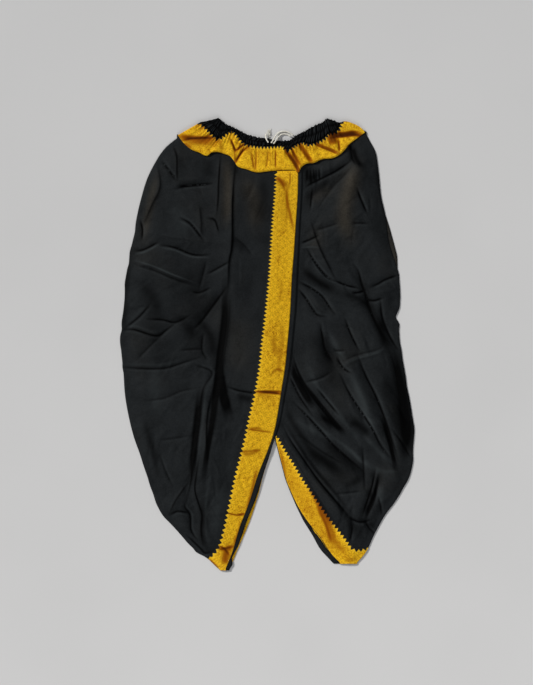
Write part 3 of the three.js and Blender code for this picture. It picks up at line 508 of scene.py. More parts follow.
def beside(x, y, path):
    """How far points lie to the left of a path, and how far along it."""
    nearest = np.full(x.shape, np.inf)
    left = np.zeros(x.shape)
    along = np.zeros(x.shape)
    start = 0
    for (ax, ay), (bx, by) in zip(path, path[1:]):
        dx, dy = bx - ax, by - ay
        length = math.hypot(dx, dy)
        t = np.clip(((x - ax) * dx + (y - ay) * dy) / length**2, 0, 1)
        away = np.hypot(x - ax - t * dx, y - ay - t * dy)
        closer = away < nearest
        side = np.where(dx * (y - ay) - dy * (x - ax) >= 0, 1, -1)
        nearest = np.where(closer, away, nearest)
        left = np.where(closer, side * away, left)
        along = np.where(closer, start + t * length, along)
        start += length
    return left, along, start


def fold_profile(away, width):
    """Height of a fold, 1 at its tip, at a distance from it."""
    rounded = np.sqrt(away**2 + FOLD_TIP**2) - FOLD_TIP
    return np.exp(-((rounded / width) ** FOLD_POWER))


def relief(x, y, folds):
    """Height, painted shade and painted warm sheen that a list of folds and patches adds at points. The shade
    is below 0 where a highlight is painted.
    """
    height, light, cold = np.zeros(x.shape), np.ones(x.shape), np.ones(x.shape)
    for fold in folds:
        rise, dark = fold.get("rise", 0), fold.get("dark", 0) + fold.get("flat", 0)
        soft = fold.get("soft", CREASE_LINE)
        a, b = fold.get("a", soft), fold.get("b", soft)
        path = curve_points(fold["path"], 4)
        reach = 2.8 * max(a, b, soft)
        near = (
            (x > path[:, 0].min() - reach) & (x < path[:, 0].max() + reach)
            & (y > path[:, 1].min() - reach) & (y < path[:, 1].max() + reach)
        )
        if not near.any():
            continue
        left, along, length = beside(x[near], y[near], path)
        taper = smooth(np.minimum(along, length - along), -0.12 * length, 0.28 * length)
        width = np.where(left > 0, a, b)
        height[near] += rise * taper * fold_profile(left, width)
        line_at = 0 if rise <= 0 else (1.2 if a < b else -1.2)
        power = FLAT if "flat" in fold else ROUND
        spread = taper * np.exp(-(np.abs((left - line_at) / soft) ** power))
        light[near] *= 1 - dark * spread
        # beside a sunk crease a highlight is painted on the wall that faces the light
        if rise < 0:
            (ax, ay), (bx, by) = path[0], path[-1]
            lit_side = -1 if TO_LIGHT[1] * (bx - ax) - TO_LIGHT[0] * (by - ay) > 0 else 1
            glint = np.exp(-(((left - 2 * lit_side * CREASE_LINE) / CREASE_LINE) ** 2))
            light[near] *= 1 + GLINT * dark * taper * glint
        # painted warm sheen
        cold[near] *= 1 - fold.get("warm", 0) * spread
    return height, 1 - light, 1 - cold


def wrinkles(x, y, zones, seed):
    """Small random wrinkles of the zones of a table, the same each time."""
    random = np.random.default_rng(seed)
    height = np.zeros(x.shape)
    for middle, size, count, direction, spread in zones:
        for _ in range(count):
            cx, cy = np.array(middle) + np.array(size) * random.uniform(-1, 1, 2)
            turn = math.radians(direction + spread * random.uniform(-1, 1))
            half = random.uniform(10, 42)
            wide = random.uniform(1.7, 4.6)
            rise = random.uniform(0.25, 1) * random.choice([-1, -1, 1])
            bend = random.uniform(-0.006, 0.006)
            along = (x - cx) * math.cos(turn) + (y - cy) * math.sin(turn)
            across = (y - cy) * math.cos(turn) - (x - cx) * math.sin(turn) - bend * along**2
            near = (np.abs(along) < half * 1.1) & (np.abs(across) < 2.5 * wide)
            fade = 1 - smooth(np.abs(along[near]), 0.3 * half, 1.1 * half)
            height[near] += rise * fade * fold_profile(across[near], wide)
    return height


def soften(values, times):
    """Blurs a grid of values."""
    for _ in range(2 * times):
        v = np.pad(values, ((1, 1), (0, 0)), mode="edge")
        values = ((v[:-2] + 2 * v[1:-1] + v[2:]) / 4).T
    return values


def solid_arrays(node):
    """Vertices and edges of a CAD node, in millimetres."""
    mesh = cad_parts[node].data
    points = np.empty(3 * len(mesh.vertices))
    mesh.vertices.foreach_get("co", points)
    edges = np.empty(2 * len(mesh.edges), np.int32)
    mesh.edges.foreach_get("vertices", edges)
    return points.reshape(-1, 3) / MM, edges.reshape(-1, 2)


def edge_line(node, side, low, high, step=6, blur=2):
    """x of a CAD node's lowest-x or highest-x side as a function of y, from its solid."""
    points, edges = solid_arrays(node)
    a, b = points[edges[:, 0]], points[edges[:, 1]]
    levels = np.arange(low, high, step) + 0.137
    found = []
    for y in levels:
        crossing = (np.minimum(a[:, 1], b[:, 1]) < y) & (np.maximum(a[:, 1], b[:, 1]) > y)
        p, q = a[crossing], b[crossing]
        x = p[:, 0] + (y - p[:, 1]) / (q[:, 1] - p[:, 1]) * (q[:, 0] - p[:, 0])
        found.append(x.min() if side == "low" else x.max())
    found = np.array(found)
    for _ in range(blur):
        found[1:-1] = (found[:-2] + 2 * found[1:-1] + found[2:]) / 4
    return lambda y: np.interp(y, levels, found)


def solid_top(node, x, y):
    """Height of a CAD node's upper side at a grid of points, filled in along the rows where there is none."""
    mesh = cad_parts[node].data
    mesh.calc_loop_triangles()
    tree = BVHTree.FromPolygons([v.co for v in mesh.vertices], [t.vertices[:] for t in mesh.loop_triangles])
    down = Vector((0, 0, -1))
    z = np.full(x.shape, np.nan)
    for index in np.ndindex(*x.shape):
        hit = tree.ray_cast(Vector((x[index] * MM, y[index] * MM, 1)), down)[0]
        if hit is not None:
            z[index] = hit.z / MM
    count = np.arange(x.shape[1])
    for row in z:
        known = ~np.isnan(row)
        if known.any():
            row[:] = np.interp(count, count[known], row[known])
    for column in z.T:
        known = ~np.isnan(column)
        column[:] = np.interp(np.arange(len(column)), np.flatnonzero(known), column[known])
    return z


waist_top, waist_teeth, waist_hem = (curve_points(line, 12) for line in zip(*WAIST))


def at_share(line, u):
    """Point of a curve at a share of its table's rows."""
    where = np.asarray(u) * (len(line) - 1)
    return np.stack([np.interp(where, np.arange(len(line)), line[:, k]) for k in (0, 1)], -1)


def hem_height(x):
    """y of the front yoke's lower edge."""
    return np.interp(x, waist_hem[:, 0], waist_hem[:, 1])


def panel_grid(columns, levels):
    """x and y of a grid over a leg panel, as the solids' grids are laid out, with a margin under the yoke."""
    above, under = np.full(len(columns), 470.0), np.full(len(columns), float(STRAIGHT_FROM))
    for _ in range(24):
        middle = (above + under) / 2
        outside = middle > hem_height(np.array([column(y) for column, y in zip(columns, middle)]))
        above, under = np.where(outside, middle, above), np.where(outside, under, middle)
    rows = []
    last = len(columns) - 1
    index = np.arange(last + 1)
    margin = MARGIN * np.clip(0.2 + np.minimum(index, last - index) / 12, 0, 1)
    count = round((above.mean() - STRAIGHT_FROM) / CELL)
    for k in range(count):
        rows.append(above + margin + (STRAIGHT_FROM - above - margin) * k / count)
    for high, low in zip(levels, levels[1:]):
        steps = max(1, round((high - low) / CELL))
        for k in range(steps):
            rows.append(np.full(len(columns), high + (low - high) * k / steps))
    rows.append(np.full(len(columns), float(levels[-1])))
    y = np.array(rows)
    x = np.stack([column(y[:, i]) for i, column in enumerate(columns)], 1)
    return x, y


def between(first, second, count):
    """Columns from one edge line up to another one, which is left to the columns that follow."""
    return [lambda y, t=k / count: first(y) * (1 - t) + second(y) * t for k in range(count)]


def under_faces(rows, columns, offset):
    """Faces of a grid's coarser underside and of the rim between both sides. offset leads to its points."""
    number = np.arange(rows * columns).reshape(rows, columns)
    faces = []
    tall = list(range(0, rows - 1, UNDER)) + [rows - 1]
    wide = list(range(0, columns - 1, UNDER)) + [columns - 1]
    for low, high in zip(tall, tall[1:]):
        for left, right in zip(wide, wide[1:]):
            down = range(low, high) if left == 0 else [low]
            foot = range(left, right) if high == rows - 1 else [left]
            up = range(high, low, -1) if right == columns - 1 else [high]
            head = range(right, left, -1) if low == 0 else [right]
            loop = [number[k, left] for k in down] + [number[high, k] for k in foot]
            loop += [number[k, right] for k in up] + [number[low, k] for k in head]
            faces.append([int(k) + offset for k in loop[::-1]])
    rim = np.concatenate([number[:-1, 0], number[-1, :-1], number[:0:-1, -1], number[0, :0:-1]]).tolist()
    for a, b in zip(rim, rim[1:] + rim[:1]):
        faces.append([b, a, a + offset, b + offset])
    return faces


def add_object(name, data):
    """A new object in the scene."""
    obj = bpy.data.objects.new(name, data)
    bpy.context.scene.collection.objects.link(obj)
    return obj


def drop_loose(mesh):
    """Removes the points that no face uses."""
    editable = bmesh.new()
    editable.from_mesh(mesh)
    bmesh.ops.delete(editable, geom=[v for v in editable.verts if not v.link_faces], context="VERTS")
    editable.to_mesh(mesh)
    editable.free()


def make_cloth(name, x, y, z, material, node, slot, thick=CLOTH, uv=None, uses=None, under=False, **tones):
    """A thin shell from a grid of points, standing for a CAD node."""
    rows, columns = x.shape
    points = np.stack([x, y, z], -1).reshape(-1, 3) * MM
    number = np.arange(rows * columns).reshape(rows, columns)
    cells = np.stack([number[:-1, :-1], number[1:, :-1], number[1:, 1:], number[:-1, 1:]], -1)
    if uses is not None:
        cells = cells[uses]
    cells = cells.reshape(-1, 4)
    kept, faces = np.unique(cells, return_inverse=True)
    faces = faces.reshape(-1, 4)
    points, faces = points[kept], faces.tolist()
    if under:
        faces += under_faces(rows, columns, len(kept))
        points = np.concatenate([points, points - (0, 0, thick * MM)])
        kept = np.concatenate([kept, kept])
    mesh = bpy.data.meshes.new(name)
    mesh.from_pydata(points.tolist(), [], faces)
    corners = np.concatenate(faces) if under else np.array(faces).reshape(-1)
    flat_uv = np.stack([v.reshape(-1)[kept] for v in uv or (x, y)], -1) * MM
    layer = mesh.uv_layers.new(name="cloth")
    layer.data.foreach_set("uv", flat_uv[corners].reshape(-1))
    # point attributes for the painted shade and the painted warm sheen
    for kind in ("shade", "warmth"):
        tone = mesh.attributes.new(kind, "FLOAT", "POINT")
        tone.data.foreach_set("value", tones.get(kind, np.zeros(x.shape)).reshape(-1)[kept])
    mesh.polygons.foreach_set("use_smooth", np.ones(len(faces), bool))
    mesh.materials.append(material)
    obj = add_object(name, mesh)
    if under:
        drop_loose(mesh)
    else:
        shell = obj.modifiers.new("wall", "SOLIDIFY")
        shell.thickness = thick * MM
        shell.offset = -1
    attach(obj, "root")
    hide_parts(node)
    return obj


class Nodes:
    """Short names for the shader nodes of one material."""

    def __init__(self, name):
        self.material = bpy.data.materials.new(name)
        self.material.use_nodes = True
        self.tree = self.material.node_tree
        self.shader = self.tree.nodes["Principled BSDF"]

    def feed(self, socket, value):
        if isinstance(value, bpy.types.NodeSocket):
            self.tree.links.new(value, socket)
        else:
            socket.default_value = value

    def add(self, kind, output, inputs=(), **settings):
        """One output of a new node, whose inputs are numbers, colours or other nodes' outputs."""
        node = self.tree.nodes.new("ShaderNode" + kind)
        for key, value in settings.items():
            setattr(node, key, value)
        for key, value in dict(inputs).items():
            self.feed(node.inputs[key], value)
        return node.outputs[output]

    def math(self, operation, *values, clamp=False):
        return self.add("Math", 0, enumerate(values), operation=operation, use_clamp=clamp)

    def mix(self, share, first, second):
        return self.add("Mix", 2, {0: share, 6: first, 7: second}, data_type="RGBA")

    def noise(self, scale, detail, rough=0.5):
        place = self.add("TexCoord", "Object")
        inputs = {"Vector": place, "Scale": scale, "Detail": detail, "Roughness": rough}
        return self.add("TexNoise", "Fac", inputs)

    def step(self, value, low, high):
        inputs = {"Value": value, "From Min": low, "From Max": high}
        return self.add("MapRange", "Result", inputs, interpolation_type="SMOOTHSTEP")

    def cloth_uv(self):
        uv = self.add("UVMap", 0, uv_map="cloth")
        return [self.add("SeparateXYZ", axis, {0: uv}) for axis in (0, 1)]

    def tone(self, kind):
        return self.add("Attribute", "Fac", attribute_name=kind)

    def weave(self, u, v, pitch):
        """Crossing threads, a pitch apart in metres."""
        threads = [self.math("SINE", self.math("MULTIPLY", value, 2 * math.pi / pitch)) for value in (u, v)]
        return self.math("MULTIPLY", *threads)

    def bump(self, height, distance):
        inputs = {"Distance": distance, "Strength": BUMP_STRENGTH, "Height": height}
        self.feed(self.shader.inputs["Normal"], self.add("Bump", 0, inputs))

    def finish(self, **inputs):
        """Feeds the shader's inputs, named with _ for a space, and gives the material."""
        for name, value in inputs.items():
            self.feed(self.shader.inputs[name.replace("_", " ")], value)
        return self.material


BUMP_STRENGTH = 0.6

# Colours of the black cloth: a near black for its random mottling and its painted shade, its plain lit
# colour, a warm colour for its random blotches and its painted sheen, and a painted highlight
BLACK_DARK = (0.0008, 0.0009, 0.0010, 1)
BLACK_LIT = (0.0178, 0.0202, 0.0218, 1)
BLACK_BLOTCH_AND_SHEEN = (0.047, 0.042, 0.034, 1)
BLACK_PAINTED_HIGHLIGHT = (0.034, 0.040, 0.042, 1)
SHADE_DEPTH = 1.2  # how much of the shadows the black cloth shows


def black_colour(nodes):
    """The dyed cloth's colour: blotchy at random, with a painted warm sheen, painted highlights, and painted
    shade in the folds.
    """
    blotches = nodes.math("MULTIPLY", nodes.step(nodes.noise(9, 3), 0.5, 0.8), 0.16)
    # random blotches and the painted warm sheen
    blotched_and_sheen = nodes.mix(nodes.math("ADD", nodes.tone("warmth"), blotches, clamp=True), BLACK_LIT, BLACK_BLOTCH_AND_SHEEN)
    grain = nodes.step(nodes.noise(300, 3, 0.7), 0.3, 0.75)
    cloudy = nodes.step(nodes.noise(22, 4, 0.6), 0.35, 0.75)
    uneven = nodes.math("ADD", nodes.math("MULTIPLY", grain, 0.3), nodes.math("MULTIPLY", cloudy, 0.3))
    woven = nodes.mix(uneven, blotched_and_sheen, BLACK_DARK)
    # painted highlights where the shade is below 0
    raised = nodes.mix(nodes.math("MULTIPLY", nodes.tone("shade"), -1, clamp=True), woven, BLACK_PAINTED_HIGHLIGHT)
    # painted shade in the folds
    return nodes.mix(nodes.math("MULTIPLY", nodes.tone("shade"), SHADE_DEPTH, clamp=True), raised, BLACK_DARK)


def black_cloth():
    nodes = Nodes("black_cloth")
    u, v = nodes.cloth_uv()
    colour = black_colour(nodes)
    threads = nodes.weave(u, v, 0.0009)
    slubs = nodes.noise(420, 2)
    nodes.bump(nodes.math("ADD", threads, slubs), 0.00015)
    return nodes.finish(Base_Color=colour, Roughness=0.6, Specular_IOR_Level=0.03)


GOLD_TOOTH = (1, 0.62, 0.03, 1)
GOLD_BRIGHT = (1, 0.6, 0.018, 1)
GOLD_DEEP = (0.38, 0.118, 0.0005, 1)
# painted shade of the gold: a deeper orange, then near black
GOLD_HALF_SHADE = (0.32, 0.09, 0.0004, 1)
GOLD_SHADOW = (0.045, 0.007, 0.0003, 1)
MOTIF = 17.5  # size of the repeat of the border's woven figure


def gold_border():
    """The woven border: teeth along its first edge, black cloth between them, and a small figured ground."""
    nodes = Nodes("gold_border")
    u, v = nodes.cloth_uv()
    across, count = [nodes.math("MULTIPLY", place, 1 / MM) for place in (u, v)]
    doubled = nodes.math("MULTIPLY", nodes.math("FRACT", count), 2)
    turn = nodes.math("ABSOLUTE", nodes.math("SUBTRACT", doubled, 1))
    saw = nodes.math("SUBTRACT", across, nodes.math("MULTIPLY", turn, TOOTH))
    on_gold = nodes.step(saw, 0, 0.6)
    on_tooth = nodes.math("SUBTRACT", 1, nodes.step(across, TOOTH - 1, TOOTH + 1.5))

    along = nodes.math("MULTIPLY", count, TAPE_UNIT)
    in_motif = [nodes.math("FRACT", nodes.math("DIVIDE", place, MOTIF)) for place in (across, along)]
    cells = [nodes.math("SUBTRACT", share, 0.5) for share in in_motif]
    squares = [nodes.math("POWER", cell, 2) for cell in cells]
    radius = nodes.math("SQRT", nodes.math("ADD", *squares))
    rings = nodes.step(nodes.math("SINE", nodes.math("MULTIPLY", radius, 26)), 0.1, 0.7)
    sizes = [nodes.math("ABSOLUTE", cell) for cell in cells]
    lattice = nodes.math("ABSOLUTE", nodes.math("SUBTRACT", *sizes))
    bars = nodes.math("SUBTRACT", 1, nodes.step(lattice, 0.03, 0.1))
    figure = nodes.math("MAXIMUM", rings, bars)
    grain = nodes.step(nodes.noise(250, 4, 0.75), 0.44, 0.66)
    clouds = nodes.step(nodes.noise(30, 5, 0.7), 0.5, 0.72)
    ground = nodes.math("MULTIPLY", figure, 0.26)
    for layer, weight in ((grain, 0.5), (clouds, 0.4)):
        ground = nodes.math("ADD", ground, nodes.math("MULTIPLY", layer, weight), clamp=True)
    gold = nodes.mix(ground, GOLD_BRIGHT, GOLD_DEEP)
    toothed = nodes.mix(nodes.math("MULTIPLY", on_tooth, 0.75), gold, GOLD_TOOTH)
    # painted shade: the gold turns deeper orange, then near black, where the shade attribute is high
    shade = nodes.tone("shade")
    half_shaded = nodes.mix(nodes.step(shade, -0.05, 0.65), toothed, GOLD_HALF_SHADE)
    hidden = nodes.mix(nodes.step(shade, 0.5, 1.05), half_shaded, GOLD_SHADOW)
    colour = nodes.mix(on_gold, black_colour(nodes), hidden)
    rough = nodes.math("ADD", 0.5, nodes.math("MULTIPLY", figure, 0.15))
    threads = nodes.weave(*[nodes.math("MULTIPLY", place, MM) for place in (across, along)], 0.0008)
    nodes.bump(nodes.math("ADD", nodes.math("MULTIPLY", figure, 1.5), threads), 0.0002)
    return nodes.finish(Base_Color=colour, Roughness=rough, Specular_IOR_Level=0.05)


# The drawstring's white cotton, the shadows between its fibres, and its stains
COTTON = (0.82, 0.80, 0.72, 1)
COTTON_DARK = (0.58, 0.55, 0.46, 1)
COTTON_STAIN = (0.5, 0.44, 0.32, 1)


def cotton_cord():
    nodes = Nodes("cotton_cord")
    fibres = nodes.step(nodes.noise(900, 3, 0.7), 0.25, 0.8)
    stains = nodes.step(nodes.noise(60, 2), 0.45, 0.8)
    clean = nodes.mix(nodes.math("MULTIPLY", fibres, 0.5), COTTON, COTTON_DARK)
    worn = nodes.mix(nodes.math("MULTIPLY", stains, 0.4), clean, COTTON_STAIN)
    nodes.bump(fibres, 0.0003)
    return nodes.finish(Base_Color=worn, Roughness=0.9)


def floor_finish():
    nodes = Nodes("floor")
    tone = nodes.step(nodes.noise(3, 2), 0.3, 0.8)
    grey = nodes.mix(tone, (0.66, 0.66, 0.66, 1), (0.64, 0.64, 0.64, 1))
    return nodes.finish(Base_Color=grey, Roughness=0.9)


def make_camera():
    data = bpy.data.cameras.new("camera")
    data.sensor_width = SENSOR
    data.lens = SENSOR * CAMERA_HEIGHT / PHOTO_HEIGHT
    data.clip_end = 50
    camera = add_object("camera", data)
    camera.location = (PHOTO_CENTRE[0] * MM, PHOTO_CENTRE[1] * MM, CAMERA_HEIGHT * MM)
    bpy.context.scene.camera = camera


def add_light(name, kind, spot, power, colour):
    """A light at a spot in metres that shines at the garment."""
    data = bpy.data.lights.new(name, kind)
    data.energy = power
    data.color = colour
    light = add_object(name, data)
    light.location = spot
    light.rotation_euler = (-light.location).to_track_quat("-Z", "Y").to_euler()
    return data


def make_studio():
    add_light("key", "SUN", (-4.2, 3, 3.1), 2.95, (1, 0.985, 0.96)).angle = math.radians(12)
    add_light("fill", "AREA", (0.3, -3.4, 2.6), 42, (1, 0.99, 0.98)).size = 2.5
    world = bpy.data.worlds.new("studio")
    world.use_nodes = True
    background = world.node_tree.nodes["Background"]
    background.inputs["Color"].default_value = (0.95, 0.965, 1, 1)
    background.inputs["Strength"].default_value = 0.26
    bpy.context.scene.world = world
    mesh = bpy.data.meshes.new("floor")
    half = 4  # of the floor's side, in metres
    corners = [(-half, -half, 0), (half, -half, 0), (half, half, 0), (-half, half, 0)]
    mesh.from_pydata(corners, [], [(0, 1, 2, 3)])
    mesh.materials.append(floor_finish())
    floor = add_object("floor", mesh)
    bpy.context.scene.view_settings.view_transform = "Standard"


def sweep(name, path, radius, sides, material, twist=0, groove=0.0, thin_from=1):
    """A closed tube along a path, grooved like a laid cord, and thin past a share of its length."""
    line = curve_points(path, 10)
    ahead = np.gradient(line, axis=0)
    ahead /= np.linalg.norm(ahead, axis=1)[:, None]
    up = np.array([0.0, 0.0, 1.0])
    side = np.cross(ahead, up)
    side /= np.linalg.norm(side, axis=1)[:, None]
    top = np.cross(side, ahead)
    along = np.concatenate([[0], np.cumsum(np.linalg.norm(np.diff(line, axis=0), axis=1))])
    angle = np.arange(sides) * 2 * math.pi / sides
    strands = np.cos(3 * angle[None, :] + twist * along[:, None])
    reach = radius * (1 - groove * (0.5 + 0.5 * strands))
    reach = reach * (1 - 0.7 * smooth(along / along[-1], thin_from, thin_from + 0.2))[:, None]
    rings = line[:, None, :] + reach[..., None] * (
        np.cos(angle)[None, :, None] * side[:, None, :] + np.sin(angle)[None, :, None] * top[:, None, :]
    )
    count = len(line)
    faces = [
        (k * sides + i, k * sides + (i + 1) % sides, (k + 1) * sides + (i + 1) % sides, (k + 1) * sides + i)
        for k in range(count - 1) for i in range(sides)
    ]
    first = range(sides)
    faces += [tuple(first)[::-1], tuple((count - 1) * sides + i for i in first)]
    mesh = bpy.data.meshes.new(name)
    mesh.from_pydata((rings.reshape(-1, 3) * MM).tolist(), [], faces)
    mesh.polygons.foreach_set("use_smooth", np.ones(len(faces), bool))
    mesh.materials.append(material)
    obj = add_object(name, mesh)
    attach(obj, "root")
    return obj, line, along[-1]


def make_drawstring():
    cotton = cotton_cord()
    random = np.random.default_rng(5)
    for name, path in STRANDS.items():
        thin_from = 0.6 if name == FRAYED else 1
        cord, line, length = sweep(name + "_cotton", path, CORD / 2, 12, cotton, 0.9, 0.28, thin_from)
        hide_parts(name)
        if name == FRAYED:
            tip = np.array(path[-1], float)
            for k in range(FIBRES):
                lean = random.uniform(-0.75, 0.75)
                reach = random.uniform(3, 8)
                start = tip + (random.uniform(-1.2, 1.2), random.uniform(-17, -6), random.uniform(-0.8, 0.8))
                middle = start + (lean * reach * 0.7, reach * 0.5, random.uniform(-0.3, 0.3))
                end = start + (lean * reach, reach, random.uniform(-0.6, 0.2))
                fibre, _, _ = sweep(f"fray_{k}", [start, middle, end], 0.42, 5, cotton)


def roll_side(z, distance, floor=SIDE_FLOOR):
    """Brings the cloth's upper side down in a round at a side fold, distance away."""
    share = np.clip(distance / SIDE_ROLL, 0, 1)
    return floor + (z - floor) * np.sqrt(1 - (1 - share) ** 2)


def border_uv(x, y, path, pitch):
    """How far points lie inside a border from the path of its teeth, and how many teeth along it."""
    left, along, length = beside(x, y, path)
    steps = np.linspace(0, length, 200)
    pitches = np.interp(steps / length, np.linspace(0, 1, len(pitch)), pitch)
    teeth = np.concatenate([[0], np.cumsum(np.diff(steps) / pitches[1:])])
    return left, np.interp(along, steps, teeth)


def drape(side, x, y, inside, foot, folds, zones, seed):
    """A front panel's height from its solid, then its folds, small wrinkles, painted shadows and highlights,
    and painted warm sheen.
    """
    within = np.clip(y, foot, 470)
    z = soften(solid_top(f"front_{side}_panel", inside, within), UNDER_BLUR)
    height, shade, warmth = relief(x, y, folds)
    return z, soften(height, 1), wrinkles(x, y, zones, seed), shade, warmth


def make_left_front(black, gold):
    """The left panel with its border, which cross over the right one."""
    outer_solid = edge_line("front_left_panel", "low", -474.5, 443)
    inner_solid = edge_line("front_left_panel", "high", -474, 358, step=3, blur=1)
    tip_solid = edge_line("front_left_border", "low", -449, 364)
    edge = edge_line("front_left_border", "high", -473, 364)
    reach = lambda y: SIDE_REACH * (1 - smooth(y, 395, 435))
    inner = lambda y: inner_solid(y) + edge_detail(y, FLAP_OUTLINE)
    outer = lambda y: outer_solid(y) - reach(y) + edge_detail(y, LEFT_OUTLINE)
    blend = lambda y: smooth(-y, -LEFT_ANKLE - 8, -LEFT_ANKLE + 6)
    tip = lambda y: tip_solid(y) * (1 - blend(y)) + (outer(y) + 0.6) * blend(y)
    body, strip = 150, 24  # columns of the plain cloth and of the border
    columns = between(outer, tip, body) + between(tip, edge, strip) + between(edge, inner, 3) + [inner]
    x, y = panel_grid(columns, [STRAIGHT_FROM, CROTCH, LEFT_ANKLE, -478])
    inside = np.clip(x, outer_solid(y) + 2, inner(y) - 1.5)
    table_rows = LEFT_FOLDS + LEFT_PATCHES
    z, folds, small, shade, warmth = drape("left", x, y, inside, -473.5, table_rows, LEFT_WRINKLES, 11)
    from_side = x - outer(y)
    calm = smooth(inner(y) - x, 4, 40)  # the border lies smoother than the cloth
    under_yoke = smooth(hem_height(x) - y, -1, 14)
    raised = FOLD_STRENGTH * folds * (0.15 + 0.85 * calm)
    raised += LEFT_SMALL * small * (0.25 + 0.75 * calm)
    z += raised * smooth(from_side, 0, 12) * under_yoke
    crossing, plain = smooth(x, -130, -20), UPPER_FLOOR
    rests = np.where(y > CROTCH - 40, CROSSING_FLOOR, plain) * crossing + plain * (1 - crossing)
    z = roll_side(np.maximum(z, rests), from_side)
    shade = shade * (0.35 + 0.65 * calm)
    cloth = make_cloth(
        "front_left_cloth", x, y, z, black, "front_left_panel", "black_cloth",
        under=True, shade=shade, warmth=warmth,
    )

    levels = np.arange(364, -452, -8)
    path = np.stack([tip(levels), levels], 1)
    across, teeth = border_uv(x, y, path, LEFT_PITCH)
    part = slice(body - 1, body + strip + 1)
    creases, strip_shade, _ = relief(x[:, part], y[:, part], STRIP_FOLDS + STRIP_PATCHES)
    below = y[:-1, part][:, :-1] <= (hem_height(x) - 0.2)[:-1, part][:, :-1]
    top = z[:, part] + TAPE_LIFT + 0.4 * creases
    tape = make_cloth(
        "front_left_tape", x[:, part], y[:, part], top, gold, "front_left_border", "gold_border", TAPE,
        (across[:, part], teeth[:, part]), below, shade=np.maximum(strip_shade, 0.5 * shade[:, part]),
    )


def make_right_front(black, gold):
    """The right panel with its border. Above the crotch its inner edge runs hidden under the left panel."""
    outer_solid = edge_line("front_right_panel", "high", -461, 449)
    inner = edge_line("front_right_panel", "low", -461, 358)
    tip = edge_line("front_right_border", "high", RIGHT_ANKLE + 1, CROTCH - 4)
    edge_low = edge_line("front_right_border", "low", -461, CROTCH - 4)
    crossing = edge_line("front_left_panel", "high", CROTCH, 358)
    reach = lambda y: SIDE_REACH * (1 - smooth(y, 400, 440))
    outer = lambda y: outer_solid(y) + reach(y) + edge_detail(y, RIGHT_OUTLINE)
    above = lambda y: smooth(y, CROTCH - 4, CROTCH + 4)
    hidden = lambda y: crossing(y) + 1.5
    edge = lambda y: edge_low(y) * (1 - above(y)) + (inner(y) * 0.5 + hidden(y) * 0.5) * above(y)
    tips = lambda y: np.minimum(tip(y), outer(y) - 4) * (1 - above(y)) + hidden(y) * above(y)
    body, strip = 128, 24  # columns of the plain cloth and of the border
    columns = between(inner, edge, 2) + between(edge, tips, strip) + between(tips, outer, body) + [outer]
    x, y = panel_grid(columns, [STRAIGHT_FROM, CROTCH, RIGHT_ANKLE + 3, -464])
    inside = np.clip(x, inner(y) + 1.5, outer_solid(y) - 2)
    table_rows = RIGHT_FOLDS + TUFT + RIGHT_PATCHES
    z, folds, small, shade, warmth = drape("right", x, y, inside, -460.5, table_rows, RIGHT_WRINKLES, 23)
    from_side = outer(y) - x
    from_crossing = x - np.where(y > CROTCH, crossing(y), inner(y))
    off_border = smooth(x - tips(y), -10, 10) * smooth(y, RIGHT_ANKLE, RIGHT_ANKLE + 20)
    calm = smooth(from_crossing, 1, 12) * np.where(y > CROTCH, 1, 0.35 + 0.65 * off_border)
    under_yoke = smooth(hem_height(x) - y, -1, 12)
    z += FOLD_STRENGTH * (folds + small) * calm * smooth(from_side, 0, 12) * under_yoke
    z = roll_side(np.maximum(z, UPPER_FLOOR), from_side)
    cloth = make_cloth(
        "front_right_cloth", x, y, z, black, "front_right_panel", "black_cloth",
        under=True, shade=shade * calm, warmth=warmth,
    )

    across, teeth = border_uv(x, y, curve_points(RIGHT_TEETH, 6), RIGHT_PITCH)
    number = np.arange(x.shape[1] - 1)[None, :]
    row_y = y[:-1, :-1]
    foot = (number <= strip + 4) | (row_y <= RIGHT_ANKLE + 2.5)
    uses = (row_y <= CROTCH + 0.5) & (number >= 1) & foot
    _, tape_shade, _ = relief(x, y, TAPE_PATCHES)
    tape = make_cloth(
        "front_right_tape", x, y, z + TAPE_LIFT, gold, "front_right_border", "gold_border", TAPE,
        (-across, teeth), uses, shade=np.maximum(tape_shade, 0.4 * shade),
    )


def edge_detail(y, outline):
    """How far the bumps and notches of an outline's table stand out at y."""
    total = np.zeros(np.shape(y))
    for level, by, over in outline:
        total = total + by * np.exp(-(((y - level) / over) ** 2))
    return total


def gathers(u, count, seed):
    """Crests of the waist's gathers, uneven in place, width and height, along a share u of the waist."""
    random = np.random.default_rng(seed)
    where = (np.arange(count) + random.uniform(-0.32, 0.32, count) + 0.5) / count
    wide = random.uniform(0.24, 0.4, count) / count
    high = random.uniform(0.5, 1.25, count)
    total = np.zeros(u.shape)
    for centre, width, height in zip(where, wide, high):
        total += height * np.exp(-(((u - centre) / width) ** 2))
    return total


def waist_grid(upper, lower, columns, rows, bulge=0):
    """A grid between two lines of the waist, whose right end curves out by bulge."""
    u, v = np.meshgrid(np.linspace(0, 1, columns), np.linspace(0, 1, rows))
    points = at_share(upper, u) * (1 - v)[..., None] + at_share(lower, u) * v[..., None]
    curve = bulge * (1 - np.abs(2 * v - 1) ** 3) * smooth(u, 0.93, 1)
    return u, v, points[..., 0], points[..., 1] + curve


